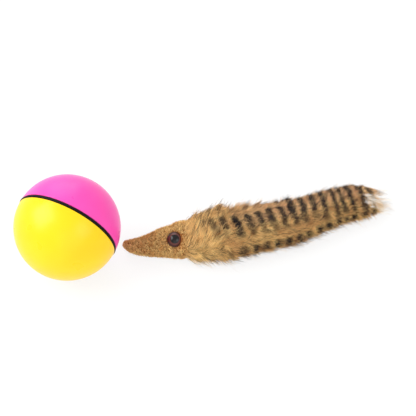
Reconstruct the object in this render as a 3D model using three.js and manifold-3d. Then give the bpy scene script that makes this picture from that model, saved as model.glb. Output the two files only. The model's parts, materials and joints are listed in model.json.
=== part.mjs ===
// Electric ball cat toy: a two-colour ball that rolls by itself, and the furry animal that it pushes about.
// Millimetres, +Z up. The ball stands on the floor at the left and the animal lies along +X beside it.

import * as THREE from 'three';
import { mergeVertices } from 'three/addons/utils/BufferGeometryUtils.js';
import Module from 'manifold-3d';

const wasm = await Module();
wasm.setup();

// Fits and overruns
const fit = 0.2;             // running clearance on a radius
const faceGap = 0.15;        // gap between faces that rest on each other
const overrun = 3;           // how far a cutting tool passes its face

// Ball
const ballRadius = 42;
const shellWall = 2;
const axisAzimuth = 65.4;    // degrees, plan direction of the pink pole from +X
const axisRise = 13;         // degrees that the pink pole is lifted
const sealWidth = 2.5;
const collarWall = 1.6;
const collarInset = 4.9;     // outer face of the ball to the outer face of the collar
const collarRise = 7.6;      // how far the collar reaches into the pink half
const collarFoot = 3.5;
const lugHeight = 1.6;
const lugReach = 1.6;
const lugLevel = 4.9;        // underside of the yellow lugs above the seam
const lugCount = 3;
const lugArc = 32;           // degrees, so that a turn of 40 degrees frees the halves

// Hub at the pink pole
const hubRadius = 12.5;
const hubThickness = 2.4;
const hubLevel = 29.2;
const hubSleeveRadius = 4.5;
const hubSleeveLength = 4;
const hubKey = 3.2;          // side of the square end of the axle
const hubScrewCircle = 8.6;
const hubScrewCount = 3;
const hubScrewLength = 7.5;
const hubPostRadius = 2.6;

// Screws
const screwRadius = 1.1;
const screwHeadRadius = 2;
const screwHeadHeight = 1.4;
const screwSlotWidth = 0.6;
const screwSlotDepth = 0.6;

// Bearing at the yellow pole
const stubRadius = 3;
const stubLength = 7.9;
const stubCollarRadius = 5;
const stubCollarLength = 1.6;
const socketWall = 2.2;
const socketGap = 1.8;       // stub's collar to the open end of the socket

// Gear train
const gearModule = 0.5;
const addendum = 0.8;        // tooth height over the pitch circle, as a multiple of the module
const dedendum = 1.2;
const backlash = 0.2;
const pinionTeeth = 10;
const wheelTeeth = 36;
const smallTeeth = 10;
const lastSmallTeeth = 12;
const finalTeeth = 32;
const gearWidth = 2;
const gearSpace = 0.5;
const gearFloor = 0.7;       // plate to first gear
const pinRadius = 0.75;
const motorOffset = -3;      // motor shaft above the ball's axis
const axleRadius = 2;
const axleKey = 2.8;
const axleReach = 31.3;      // end of the axle in the hub

// Gearbox
const plateLevel = 8;
const plateThickness = 1.6;
const gearMargin = 0.5;      // gear tips to the cover
const coverWall = 1.2;
const coverTop = 1.4;
const bushWall = 2;
const bushLength = 3.6;
const earRadius = 3;
const coverScrewLength = 8.4;
const coverScrewPlaces = [[5.5, 16.5], [-21, -7], [4.5, -13.7]];

// Motor
const motorDiameter = 20;
const motorHeight = 15.1;
const motorLength = 25.1;
const motorCapLength = 3;
const motorWall = 0.8;
const motorShaftRadius = 1;
const motorBossRadius = 3;
const motorBossLength = 1.1;
const armatureRadius = 5.4;
const armatureLength = 12;
const armaturePoles = 3;
const armatureSlot = 1.6;
const magnetThickness = 1.9;
const magnetArc = 110;       // degrees
const magnetLength = 14;

// Battery and its tray
const batteryRadius = 7.25;
const batteryLength = 50.5;
const terminalRadius = 2.7;
const terminalHeight = 1.4;
const batteryDrop = 17.8;    // battery axis below the ball's axis
const batteryShift = 1;      // battery centre towards the pink half
const contactThickness = 0.5;
const contactSide = 9;
const springSpace = 3;
const springWire = 0.25;
const springRadius = 3.4;
const springTipRadius = 2;
const springTurns = 2.5;
const trayWall = 1.2;
const trayClearance = 0.35;
const trayDepth = 22;        // edge of the tray below the ball's axis
const swingGap = 0.5;        // least room between the drive unit and the shells
const deckThickness = 1.5;
const doorThickness = 1.2;
const doorLength = 42;
const doorHookLength = 8;
const doorHookDepth = 4;
const doorHookThickness = 1;
const doorGripCount = 3;
const doorGripPitch = 2.2;
const doorGripHeight = 0.5;
const doorGripWidth = 0.9;

// Switch
const switchGap = 2;         // motor to switch
const switchLength = 6;
const switchWidth = 10;
const switchHeight = 3.1;
const knobLength = 2.4;
const knobWidth = 3;
const knobHeight = 2;
const knobSlotDepth = 1.2;
const knobTravel = 2.5;

// Wires
const wireRadius = 0.6;
const redWireRoute = [
    [26.4, 9.9, 11.2], [24, 10.4, 13.2], [14, 10.4, 14.6], [0, 10.3, 14.8], [-12, 10.3, 13.6],
    [-20, 10.3, 9.4], [-23, 9.9, 4.6], [-23.3, 7, 2.9], [-23.4, 5.8, 3.1]];
const blackWireRoute = [
    [-26.2, -7.2, -0.5], [-24.4, -7.3, -1.6], [-21.6, -7, -3], [-19.4, -6.2, -3.6], [-17.7, -5.6, -3.6]];
const switchWireRoute = [
    [-22.6, 5.8, 2.2], [-21.6, 6.6, 0.8], [-20, 6.8, -1.6], [-18.9, 6.1, -3], [-17.7, 5.6, -3.6]];

// Animal
const animalLength = 214;
const animalHalfWidth = 22.6;
const animalHalfHeight = 18;
const animalYaw = 12.2;      // degrees, from +X to the line from nose to tail end
const noseX = 41.2;          // nose tip from the ball's centre
const noseY = 12.4;
const bellyCut = 0.5;
const neckShare = 0.265;
const hipShare = 0.665;
const bendLimit = 20;        // degrees each way at the neck and the hip
const bendClearance = 2;     // degrees left open at the limit
const bendGap = 0.3;
const ringPoints = 20;
const ringStep = 6;

// Places along the animal: share of its length, sideways share of its length, width share, height share,
// and how far its middle is lifted, as a share of its half height
const spineShares = [
    [0, 0, 0.11, 0.14, 0.33], [0.018, -0.014, 0.19, 0.25, 0.26], [0.053, -0.026, 0.29, 0.37, 0.13],
    [0.088, -0.034, 0.38, 0.49, 0.04], [0.122, -0.039, 0.47, 0.6, 0], [0.157, -0.043, 0.55, 0.68, 0],
    [0.19, -0.05, 0.64, 0.76, 0], [0.225, -0.055, 0.73, 0.82, 0], [0.26, -0.061, 0.82, 0.88, 0],
    [0.31, -0.068, 0.92, 0.97, 0], [0.36, -0.074, 0.98, 1, 0], [0.42, -0.078, 0.97, 0.99, 0],
    [0.49, -0.073, 0.93, 0.95, 0], [0.56, -0.068, 0.91, 0.92, 0], [0.63, -0.062, 0.89, 0.9, 0],
    [0.7, -0.047, 0.83, 0.84, 0], [0.77, -0.028, 0.77, 0.78, 0], [0.84, -0.014, 0.74, 0.75, 0],
    [0.9, -0.004, 0.74, 0.75, 0], [0.95, 0, 0.74, 0.74, 0], [0.985, 0.001, 0.66, 0.66, 0],
    [1, 0.001, 0.54, 0.54, 0], [1.01, 0.001, 0.36, 0.36, 0]];

// Eyes
const eyeShare = 0.193;      // place along the animal
const eyeRadius = 6.2;
const eyeDome = 3.6;
const eyeRim = 0.8;
const eyeSink = 1.9;         // rim below the plush surface
const eyeTilt = 20;          // degrees above the animal's side
const headRoll = 36;         // degrees that the head leans over
const pupilRadius = 3.7;
const pupilThickness = 0.7;
const eyeFlange = 0.8;
const eyeStemRadius = 1.3;
const eyeStemLength = 6.4;
const washerRadius = 4.8;
const washerThickness = 1.1;
const washerDepth = 3;

// Roundness
const shellSides = 32;
const shellSteps = 7;
const roundSides = 20;
const smallSides = 10;
const flankSteps = 1;
const canSteps = 5;
const domeSteps = 4;
const wireSides = 8;
const springSides = 6;
const springSteps = 8;
const mergeDistance = 1e-4;

// Values that follow from the sizes above
const shellInside = ballRadius - shellWall;
const halfSeal = sealWidth / 2;
const rimLevel = halfSeal + faceGap;
const collarOutside = ballRadius - collarInset;
const collarInside = collarOutside - collarWall;
const hubTop = hubLevel + hubThickness;
const plateTop = plateLevel + plateThickness;
const coverBase = plateTop + faceGap;
const layerPitch = gearWidth + gearSpace;
const firstLayer = plateTop + gearFloor;
const secondLayer = firstLayer + layerPitch;
const thirdLayer = secondLayer + layerPitch;
const cavityTop = thirdLayer + layerPitch;
const coverLevel = cavityTop + coverTop;
const bushTop = coverLevel + bushLength;
const motorFront = plateLevel - faceGap;
const motorRear = motorFront - motorLength;
const motorBottom = motorOffset + motorHeight / 2;
const deckTop = motorBottom + fit;
const deckBottom = deckTop + deckThickness;
const batteryTop = batteryDrop - batteryRadius;
const batteryBottom = batteryDrop + batteryRadius;
const batteryFront = batteryShift + batteryLength / 2;
const batteryRear = batteryShift - batteryLength / 2;
const trayInside = batteryRadius + trayClearance;
const trayOutside = trayInside + trayWall;
const trayFront = batteryFront + contactThickness + 2 * faceGap;
const switchFront = motorRear - switchGap;
const switchRear = switchFront - switchLength;
const trayRear = Math.min(batteryRear - springSpace - faceGap, switchRear - fit);
const endPlateLevel = trayRear - trayWall;
const socketLevel = endPlateLevel - stubCollarLength - socketGap;
const doorLevel = batteryBottom + trayClearance;
const motorTrayInside = motorDiameter / 2 + fit;
const motorTrayOutside = motorTrayInside + trayWall;

// Centres of the gears in the plane of the gearbox: x is down, y is sideways
function pitchRadius(teeth) {
    return teeth * gearModule / 2;
}

function tipRadius(teeth) {
    return pitchRadius(teeth) + addendum * gearModule;
}

function meetingPoint(from, fromDistance, to, toDistance, side) {
    const along = new THREE.Vector2().subVectors(to, from);
    const span = along.length();
    const reach = (fromDistance ** 2 - toDistance ** 2 + span ** 2) / (2 * span);
    const offset = side * Math.sqrt(fromDistance ** 2 - reach ** 2);
    along.normalize();
    return new THREE.Vector2(
        from.x + along.x * reach - along.y * offset,
        from.y + along.y * reach + along.x * offset);
}

const finalCentre = new THREE.Vector2(0, 0);
const motorCentre = new THREE.Vector2(motorOffset, 0);
const motorPlace = motorCentre.toArray();
const gear1Direction = THREE.MathUtils.degToRad(105);
const gear1Centre = new THREE.Vector2(Math.cos(gear1Direction), Math.sin(gear1Direction))
    .multiplyScalar(pitchRadius(pinionTeeth) + pitchRadius(wheelTeeth)).add(motorCentre);
const gear2Centre = meetingPoint(
    gear1Centre, pitchRadius(smallTeeth) + pitchRadius(wheelTeeth),
    finalCentre, pitchRadius(lastSmallTeeth) + pitchRadius(finalTeeth), -1);

// Solids and meshes
function closedSolid(geometry) {
    geometry.deleteAttribute('normal');
    geometry.deleteAttribute('uv');
    const merged = mergeVertices(geometry, mergeDistance);
    const places = merged.attributes.position;
    const corners = merged.index.array;
    const kept = [];
    const [a, b, c] = [new THREE.Vector3(), new THREE.Vector3(), new THREE.Vector3()];
    let volume = 0;
    for (let i = 0; i < corners.length; i += 3) {
        const [p, q, r] = [corners[i], corners[i + 1], corners[i + 2]];
        if (p !== q && q !== r && r !== p) {
            kept.push(p, q, r);
            a.fromBufferAttribute(places, p);
            b.fromBufferAttribute(places, q);
            c.fromBufferAttribute(places, r);
            volume += a.dot(b.cross(c));
        }
    }
    if (volume < 0) {
        kept.reverse();
    }
    return new wasm.Manifold(new wasm.Mesh({
        numProp: 3,
        vertProperties: new Float32Array(places.array),
        triVerts: new Uint32Array(kept),
    }));
}

function surfaceOf(solid) {
    const result = solid.getMesh();
    const geometry = new THREE.BufferGeometry();
    geometry.setAttribute('position', new THREE.BufferAttribute(new Float32Array(result.vertProperties), 3));
    geometry.setIndex(new THREE.BufferAttribute(new Uint32Array(result.triVerts), 1));
    geometry.computeVertexNormals();
    return geometry;
}

function joined(solids) {
    return solids.reduce((whole, solid) => whole.add(solid));
}

function plastic(color, roughness = 0.5) {
    return new THREE.MeshStandardMaterial({ color, roughness, metalness: 0 });
}

function metal(color, roughness = 0.35) {
    return new THREE.MeshStandardMaterial({ color, roughness, metalness: 1 });
}

function addPiece(group, name, solid, material) {
    const mesh = new THREE.Mesh(surfaceOf(solid), material);
    mesh.name = name;
    group.add(mesh);
    return mesh;
}

// A cylinder or tube along Z, from one level to another
function rod(radius, from, to, x = 0, y = 0, sides = roundSides) {
    const geometry = new THREE.CylinderGeometry(radius, radius, to - from, sides);
    geometry.rotateX(Math.PI / 2);
    geometry.translate(x, y, (from + to) / 2);
    return closedSolid(geometry);
}

function block(x0, x1, y0, y1, z0, z1) {
    const geometry = new THREE.BoxGeometry(x1 - x0, y1 - y0, z1 - z0);
    geometry.translate((x0 + x1) / 2, (y0 + y1) / 2, (z0 + z1) / 2);
    return closedSolid(geometry);
}

function slab(shape, from, to, curveSegments = roundSides) {
    const geometry = new THREE.ExtrudeGeometry(shape, {
        depth: to - from,
        bevelEnabled: false,
        curveSegments,
    });
    geometry.translate(0, 0, from);
    return closedSolid(geometry);
}

// A profile of [radius, height] points turned about Z
function turned(profile, sides = roundSides) {
    const points = profile.map(([radius, height]) => new THREE.Vector2(radius, height));
    const geometry = new THREE.LatheGeometry(points, sides);
    geometry.rotateX(Math.PI / 2);
    return closedSolid(geometry);
}

function arcPoints(radius, fromAngle, toAngle, steps) {
    const points = [];
    for (let i = 0; i <= steps; i++) {
        const angle = fromAngle + (toAngle - fromAngle) * i / steps;
        points.push([radius * Math.cos(angle), radius * Math.sin(angle)]);
    }
    return points;
}

// A piece of a ring between two radii, centred on an angle in degrees
function ringSector(inside, outside, from, to, centre, arc) {
    const first = THREE.MathUtils.degToRad(centre - arc / 2);
    const last = THREE.MathUtils.degToRad(centre + arc / 2);
    const shape = new THREE.Shape();
    shape.absarc(0, 0, outside, first, last, false);
    shape.absarc(0, 0, inside, last, first, true);
    return slab(shape, from, to, shellSteps);
}

// Outline around circles given as [x, y, radius]
function outlineAround(circles) {
    const points = [];
    for (const [x, y, radius] of circles) {
        for (let i = 0; i < roundSides; i++) {
            const angle = 2 * Math.PI * i / roundSides;
            points.push(new THREE.Vector2(x + radius * Math.cos(angle), y + radius * Math.sin(angle)));
        }
    }
    points.sort((a, b) => a.x - b.x || a.y - b.y);
    const half = (list) => {
        const chain = [];
        for (const point of list) {
            while (chain.length > 1 && turnsRight(chain.at(-2), chain.at(-1), point)) {
                chain.pop();
            }
            chain.push(point);
        }
        return chain.slice(0, -1);
    };
    return new THREE.Shape([...half(points), ...half([...points].reverse())]);
}

function turnsRight(a, b, c) {
    return (b.x - a.x) * (c.y - a.y) - (b.y - a.y) * (c.x - a.x) <= 0;
}

function tube(points, radius, sides, steps) {
    const section = new THREE.Shape();
    section.absarc(0, 0, radius, 0, 2 * Math.PI, false);
    const geometry = new THREE.ExtrudeGeometry(section, {
        steps,
        curveSegments: sides / 2,
        bevelEnabled: false,
        extrudePath: new THREE.CatmullRomCurve3(points),
    });
    return closedSolid(geometry);
}

// A narrow rod on a place given as [x, y]
function pin(radius, from, to, [x, y]) {
    return rod(radius, from, to, x, y, smallSides);
}

// A screw along Z, its head below the level and its shank above it
function screw(x, y, level, length) {
    const head = pin(screwHeadRadius, level - screwHeadHeight, level, [x, y]);
    const shank = pin(screwRadius, level - screwHeadHeight / 2, level + length, [x, y]);
    const slot = block(
        x - screwHeadRadius - overrun, x + screwHeadRadius + overrun,
        y - screwSlotWidth / 2, y + screwSlotWidth / 2,
        level - screwHeadHeight - overrun, level - screwHeadHeight + screwSlotDepth);
    return head.add(shank).subtract(slot);
}

// Gears
function gearShape(teeth, phase) {
    const pitch = pitchRadius(teeth);
    const tip = tipRadius(teeth);
    const root = pitch - dedendum * gearModule;
    const base = pitch * Math.cos(THREE.MathUtils.degToRad(20));
    const involute = (angle) => Math.tan(angle) - angle;
    const pressure = (radius) => Math.acos(Math.min(1, base / radius));
    const halfAtPitch = Math.PI / teeth / 2 - backlash / 2 / pitch;
    const halfAt = (radius) => halfAtPitch + involute(pressure(pitch)) - involute(pressure(radius));
    const shape = new THREE.Shape();
    const undercut = base - root > gearModule / 4;
    const start = undercut ? base : root;
    const radii = [];
    for (let i = 0; i <= flankSteps; i++) {
        radii.push(start + (tip - start) * i / flankSteps);
    }
    const points = [];
    for (let tooth = 0; tooth < teeth; tooth++) {
        const centre = phase + 2 * Math.PI * tooth / teeth;
        const flank = radii.map((radius) => [radius, halfAt(radius)]);
        if (undercut) {
            flank.unshift([root, halfAt(start)]);
        }
        for (const [radius, half] of flank) {
            points.push([radius, centre - half]);
        }
        for (const [radius, half] of [...flank].reverse()) {
            points.push([radius, centre + half]);
        }
    }
    points.forEach(([radius, angle], i) => {
        const place = [radius * Math.cos(angle), radius * Math.sin(angle)];
        if (i === 0) {
            shape.moveTo(...place);
        } else {
            shape.lineTo(...place);
        }
    });
    return shape;
}

function gearDisc(teeth, phase, level, centre, width = gearWidth) {
    const shape = gearShape(teeth, phase);
    const geometry = new THREE.ExtrudeGeometry(shape, { depth: width, bevelEnabled: false });
    geometry.translate(centre.x, centre.y, level);
    return closedSolid(geometry);
}

function directionTo(from, to) {
    return Math.atan2(to.y - from.y, to.x - from.x);
}

// Phase that turns a gap of the first gear to the second, where a tooth of the second stands
function gapPhase(from, to, teeth) {
    return directionTo(from, to) + Math.PI / teeth;
}

function compoundGear(centre, bigPhase, smallPhase, smallCount, level) {
    const big = gearDisc(wheelTeeth, bigPhase, level, centre);
    const small = gearDisc(smallCount, smallPhase, level + gearWidth / 2, centre, layerPitch + gearWidth / 2);
    const bore = pin(pinRadius + fit, level - overrun, level + 2 * layerPitch + overrun, centre.toArray());
    return big.add(small).subtract(bore);
}

// Shells
function pinkShell() {
    const rimAngle = Math.asin(rimLevel / ballRadius);
    const insideAngle = Math.asin(rimLevel / shellInside);
    const bowl = turned([
        ...arcPoints(shellInside, Math.PI / 2, insideAngle, shellSteps),
        ...arcPoints(ballRadius, rimAngle, Math.PI / 2, shellSteps)], shellSides);
    const lugTop = lugLevel - faceGap;
    const parts = [bowl];
    for (let i = 0; i < lugCount; i++) {
        const lug = ringSector(collarOutside + fit, shellInside + shellWall / 2,
            lugTop - lugHeight, lugTop, 360 * i / lugCount, lugArc);
        parts.push(lug);
    }
    const postTop = Math.sqrt(shellInside ** 2 - hubScrewCircle ** 2) + shellWall / 2;
    const holes = [];
    for (let i = 0; i < hubScrewCount; i++) {
        const place = hubScrewPlace(i);
        parts.push(pin(hubPostRadius, hubTop + faceGap, postTop, place));
        holes.push(pin(screwRadius + fit, hubTop - overrun, hubLevel + hubScrewLength + fit, place));
    }
    return joined(parts).subtract(joined(holes));
}

function hubScrewPlace(i) {
    const angle = 2 * Math.PI * i / hubScrewCount;
    return [hubScrewCircle * Math.cos(angle), hubScrewCircle * Math.sin(angle)];
}

function yellowShell() {
    const rimAngle = -Math.asin(rimLevel / ballRadius);
    const footAngle = -Math.asin((collarFoot + shellWall / 2) / shellInside);
    const bowl = turned([
        ...arcPoints(ballRadius, -Math.PI / 2, rimAngle, shellSteps),
        [collarOutside, -rimLevel],
        [collarOutside, collarRise],
        [collarInside, collarRise],
        [collarInside, -collarFoot],
        ...arcPoints(shellInside, footAngle, -Math.PI / 2, shellSteps)], shellSides);
    const parts = [bowl];
    for (let i = 0; i < lugCount; i++) {
        parts.push(ringSector(collarOutside - collarWall / 2, collarOutside + lugReach,
            lugLevel, lugLevel + lugHeight, 360 * i / lugCount, lugArc));
    }
    const socketInside = stubRadius + fit;
    const socketFoot = -shellInside - shellWall / 2;
    parts.push(rod(socketInside + socketWall, socketFoot, socketLevel));
    const stubEnd = endPlateLevel - stubLength;
    const bore = rod(socketInside, stubEnd - fit, socketLevel + overrun);
    return joined(parts).subtract(bore);
}

function sealRing() {
    const angle = Math.asin(halfSeal / ballRadius);
    return turned([
        [collarOutside + fit, -halfSeal],
        ...arcPoints(ballRadius, -angle, angle, 2),
        [collarOutside + fit, halfSeal],
        [collarOutside + fit, -halfSeal]], shellSides);
}

// Hub and axle, which turn with the pink half
function pinkHub() {
    const key = hubKey / 2 + fit;
    const disc = rod(hubRadius, hubLevel, hubTop, 0, 0, roundSides)
        .add(rod(hubSleeveRadius, hubLevel - hubSleeveLength, hubLevel + hubThickness / 2));
    const cuts = [block(-key, key, -key, key, hubLevel - hubSleeveLength - overrun, hubTop + overrun)];
    for (let i = 0; i < hubScrewCount; i++) {
        cuts.push(pin(screwRadius + fit, hubLevel - overrun, hubTop + overrun, hubScrewPlace(i)));
    }
    return disc.subtract(joined(cuts));
}

function driveAxle() {
    const lowKey = axleKey / 2;
    const highKey = hubKey / 2;
    const sleeveEnd = hubLevel - hubSleeveLength;
    return joined([
        block(-lowKey, lowKey, -lowKey, lowKey, thirdLayer - gearSpace / 2, thirdLayer + gearWidth + fit),
        rod(axleRadius, thirdLayer + gearWidth + fit / 2, sleeveEnd - faceGap),
        block(-highKey, highKey, -highKey, highKey, sleeveEnd - 2 * faceGap, axleReach)]);
}

function finalGear() {
    const key = axleKey / 2 + fit;
    const phase = gapPhase(finalCentre, gear2Centre, finalTeeth);
    const disc = gearDisc(finalTeeth, phase, thirdLayer, finalCentre);
    return disc.subtract(block(-key, key, -key, key, thirdLayer - overrun, thirdLayer + gearWidth + overrun));
}

// Drive unit
function gearCircles(margin) {
    return [
        [gear1Centre.x, gear1Centre.y, tipRadius(wheelTeeth) + margin],
        [gear2Centre.x, gear2Centre.y, tipRadius(wheelTeeth) + margin],
        [finalCentre.x, finalCentre.y, tipRadius(finalTeeth) + margin]];
}

function boxOutline() {
    return outlineAround([
        ...gearCircles(gearMargin + coverWall),
        ...coverScrewPlaces.map(([x, y]) => [x, y, earRadius])]);
}

function driveFrame() {
    const endPlateTop = -stubCollarRadius - trayWall;
    const trayEdge = batteryTop + trayClearance;
    const trayEnd = trayFront + trayWall;
    const motorTrayRear = motorRear + motorCapLength;
    const parts = [
        slab(boxOutline(), plateLevel, plateTop),
        block(deckTop, deckBottom, -trayOutside, trayOutside, endPlateLevel, plateTop),
        block(deckTop, deckBottom, -motorTrayOutside, motorTrayOutside, motorTrayRear, plateTop),
        block(trayDepth, endPlateTop, -trayOutside, trayOutside, endPlateLevel, trayRear),
        block(trayEdge, trayDepth, -trayOutside, trayOutside, trayFront, trayEnd),
        rod(stubCollarRadius, endPlateLevel - stubCollarLength, trayRear),
        rod(stubRadius, endPlateLevel - stubLength, trayRear)];
    for (const side of [-1, 1]) {
        const trayWalls = wallSpan(side, trayInside, trayOutside);
        const motorWalls = wallSpan(side, motorTrayInside, motorTrayOutside);
        parts.push(block(trayEdge, trayDepth, ...trayWalls, endPlateLevel, trayEnd));
        parts.push(block(deckTop, trayDepth, ...trayWalls, endPlateLevel, plateTop));
        parts.push(block(motorOffset, deckBottom, ...motorWalls, motorTrayRear, plateTop));
    }
    const cuts = [
        rod(motorBossRadius + fit, plateLevel - overrun, plateTop + overrun, motorCentre.x, motorCentre.y)];
    for (const centre of [gear1Centre, gear2Centre]) {
        cuts.push(pin(pinRadius + fit, plateLevel - overrun, plateTop + overrun, centre.toArray()));
    }
    for (const place of coverScrewPlaces) {
        cuts.push(pin(screwRadius + fit, plateLevel - overrun, plateTop + overrun, place));
    }
    return joined(parts).subtract(joined(cuts)).intersect(swingSpace());
}

// Lower and upper bound of a wall on one side of the middle
function wallSpan(side, inside, outside) {
    return side < 0 ? [-outside, -inside] : [inside, outside];
}

// The room in which the drive unit swings inside the shells
function swingSpace() {
    return turned(arcPoints(shellInside - swingGap, -Math.PI / 2, Math.PI / 2, shellSides), shellSides);
}

function gearboxCover() {
    const cup = slab(boxOutline(), coverBase, coverLevel)
        .add(rod(axleRadius + fit + bushWall, coverLevel - coverTop / 2, bushTop));
    const cuts = [
        slab(outlineAround(gearCircles(gearMargin)), coverBase - overrun, cavityTop),
        rod(axleRadius + fit, cavityTop - overrun, bushTop + overrun)];
    for (const centre of [gear1Centre, gear2Centre]) {
        cuts.push(pin(pinRadius + fit, cavityTop - overrun, cavityTop + coverTop / 2, centre.toArray()));
    }
    for (const place of coverScrewPlaces) {
        cuts.push(pin(screwRadius + fit, coverBase - overrun, plateLevel + coverScrewLength + fit, place));
    }
    return cup.subtract(joined(cuts));
}

function gearPin(centre) {
    return pin(pinRadius, plateLevel + faceGap, cavityTop + coverTop / 2 - faceGap, centre.toArray());
}

// Motor
function motorOutline(inset) {
    const radius = motorDiameter / 2 - inset;
    const half = motorHeight / 2 - inset;
    const corner = Math.acos(half / radius);
    const shape = new THREE.Shape();
    shape.absarc(motorOffset, 0, radius, corner, Math.PI - corner, false);
    shape.absarc(motorOffset, 0, radius, Math.PI + corner, -corner, false);
    return shape;
}

function motorCan() {
    const body = slab(motorOutline(0), motorRear + motorCapLength, motorFront, canSteps)
        .add(rod(motorBossRadius, motorFront - motorWall, motorFront + motorBossLength, motorOffset, 0));
    const inside = slab(motorOutline(motorWall), motorRear, motorFront - motorWall, canSteps);
    const bore = pin(motorShaftRadius + fit, motorFront - overrun, motorFront + overrun, motorPlace);
    return body.subtract(inside).subtract(bore);
}

function motorEndCap() {
    const capTop = motorRear + motorCapLength - faceGap;
    const cap = slab(motorOutline(0), motorRear, capTop, canSteps)
        .add(slab(motorOutline(motorWall + fit), capTop - faceGap, capTop + motorCapLength / 2, canSteps));
    const bore = pin(motorShaftRadius + fit, motorRear + motorCapLength / 2, motorFront, motorPlace);
    return cap.subtract(bore);
}

function motorShaft() {
    const from = motorRear + motorCapLength / 2 + fit;
    return pin(motorShaftRadius, from, firstLayer + gearWidth + fit, motorPlace);
}

function motorMiddle() {
    return (motorRear + motorCapLength * 1.5 + motorFront - motorWall) / 2;
}

function motorArmature() {
    const from = motorMiddle() - armatureLength / 2;
    const to = motorMiddle() + armatureLength / 2;
    const cuts = [pin(motorShaftRadius + fit / 2, from - overrun, to + overrun, motorPlace)];
    for (let i = 0; i < armaturePoles; i++) {
        const geometry = new THREE.BoxGeometry(armatureRadius, armatureSlot, armatureLength + 2 * overrun);
        geometry.translate(armatureRadius, 0, motorMiddle());
        geometry.rotateZ(2 * Math.PI * i / armaturePoles);
        geometry.translate(motorOffset, 0, 0);
        cuts.push(closedSolid(geometry));
    }
    return rod(armatureRadius, from, to, motorOffset, 0).subtract(joined(cuts));
}

function motorMagnet(side) {
    const outside = motorDiameter / 2 - motorWall - fit;
    const from = motorMiddle() - magnetLength / 2;
    const to = motorMiddle() + magnetLength / 2;
    const ring = rod(outside, from, to, motorOffset, 0, shellSides)
        .subtract(rod(outside - magnetThickness, from - overrun, to + overrun, motorOffset, 0, shellSides));
    const arcHalf = outside * Math.sin(THREE.MathUtils.degToRad(magnetArc / 2));
    const half = Math.min(arcHalf, motorHeight / 2 - motorWall - fit);
    const window = block(motorOffset - half, motorOffset + half,
        Math.min(0, side * motorDiameter), Math.max(0, side * motorDiameter), from - overrun, to + overrun);
    return ring.intersect(window);
}

function pinion() {
    const disc = gearDisc(pinionTeeth, directionTo(motorCentre, gear1Centre), firstLayer, motorCentre);
    const borePast = firstLayer + gearWidth + overrun;
    const bore = pin(motorShaftRadius + fit / 2, firstLayer - overrun, borePast, motorPlace);
    return disc.subtract(bore);
}

// Battery, its contacts and the door
function battery() {
    const canTop = batteryFront - terminalHeight;
    return rod(batteryRadius, batteryRear, canTop, batteryDrop, 0)
        .add(pin(terminalRadius, canTop - faceGap, batteryFront, [batteryDrop, 0]));
}

function contactPlate() {
    const half = contactSide / 2;
    return block(batteryDrop - half, batteryDrop + half, -half, half,
        batteryFront + faceGap, batteryFront + faceGap + contactThickness);
}

function contactSpring() {
    const points = [];
    const from = trayRear + faceGap + springWire;
    const to = batteryRear - faceGap - springWire;
    const count = springTurns * springSteps;
    for (let i = 0; i <= count; i++) {
        const share = i / count;
        const angle = 2 * Math.PI * springTurns * share;
        const radius = springRadius + (springTipRadius - springRadius) * share;
        points.push(new THREE.Vector3(
            batteryDrop + radius * Math.cos(angle), radius * Math.sin(angle), from + (to - from) * share));
    }
    return tube(points, springWire, springSides, count);
}

function batteryDoor() {
    const from = batteryShift - doorLength / 2;
    const to = batteryShift + doorLength / 2;
    const hookInside = trayOutside + fit;
    const hookOutside = hookInside + doorHookThickness;
    const parts = [block(doorLevel, doorLevel + doorThickness, -hookOutside, hookOutside, from, to)];
    for (const side of [-1, 1]) {
        parts.push(block(trayDepth - doorHookDepth / 2, doorLevel + doorThickness / 2,
            ...wallSpan(side, hookInside, hookOutside),
            batteryShift - doorHookLength / 2, batteryShift + doorHookLength / 2));
    }
    for (let i = 0; i < doorGripCount; i++) {
        const middle = batteryShift + doorGripPitch * (i - (doorGripCount - 1) / 2);
        parts.push(block(doorLevel + doorThickness / 2, doorLevel + doorThickness + doorGripHeight,
            -trayInside / 2, trayInside / 2, middle - doorGripWidth / 2, middle + doorGripWidth / 2));
    }
    return joined(parts);
}

// Switch on the deck, behind the motor
const switchMiddle = (switchFront + switchRear) / 2;
const switchTop = deckTop - faceGap - switchHeight;

function switchBody() {
    const body = block(switchTop, deckTop - faceGap, -switchWidth / 2, switchWidth / 2,
        switchRear, switchFront);
    const slotWidth = knobWidth / 2 + knobTravel / 2 + fit;
    return body.subtract(block(switchTop - overrun, switchTop + knobSlotDepth, -slotWidth, slotWidth,
        switchMiddle - knobLength / 2 - fit, switchMiddle + knobLength / 2 + fit));
}

function switchKnob() {
    const start = -knobTravel / 2 - knobWidth / 2;
    return block(switchTop - knobHeight, switchTop + knobSlotDepth - fit, start, start + knobWidth,
        switchMiddle - knobLength / 2, switchMiddle + knobLength / 2);
}

// Wires: the routes give the place along the axis, sideways, and down
function wire(route) {
    const points = route.map(([along, sideways, down]) => new THREE.Vector3(down, sideways, along));
    return tube(points, wireRadius, wireSides, 2 * route.length);
}

// Animal: rings of points along a curved middle line
function smoothShare(share, column) {
    const last = spineShares.length - 1;
    let i = spineShares.findIndex((row) => row[0] >= share);
    i = Math.min(Math.max(i < 0 ? last : i, 1), last);
    const row = (k) => spineShares[Math.min(Math.max(k, 0), last)];
    const [before, from, to, after] = [row(i - 2), row(i - 1), row(i), row(i + 1)];
    const t = (share - from[0]) / (to[0] - from[0]);
    const leave = (to[column] - before[column]) / (to[0] - before[0]) * (to[0] - from[0]);
    const arrive = (after[column] - from[column]) / (after[0] - from[0]) * (to[0] - from[0]);
    return (2 * t ** 3 - 3 * t ** 2 + 1) * from[column] + (t ** 3 - 2 * t ** 2 + t) * leave
        + (3 * t ** 2 - 2 * t ** 3) * to[column] + (t ** 3 - t ** 2) * arrive;
}

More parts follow.
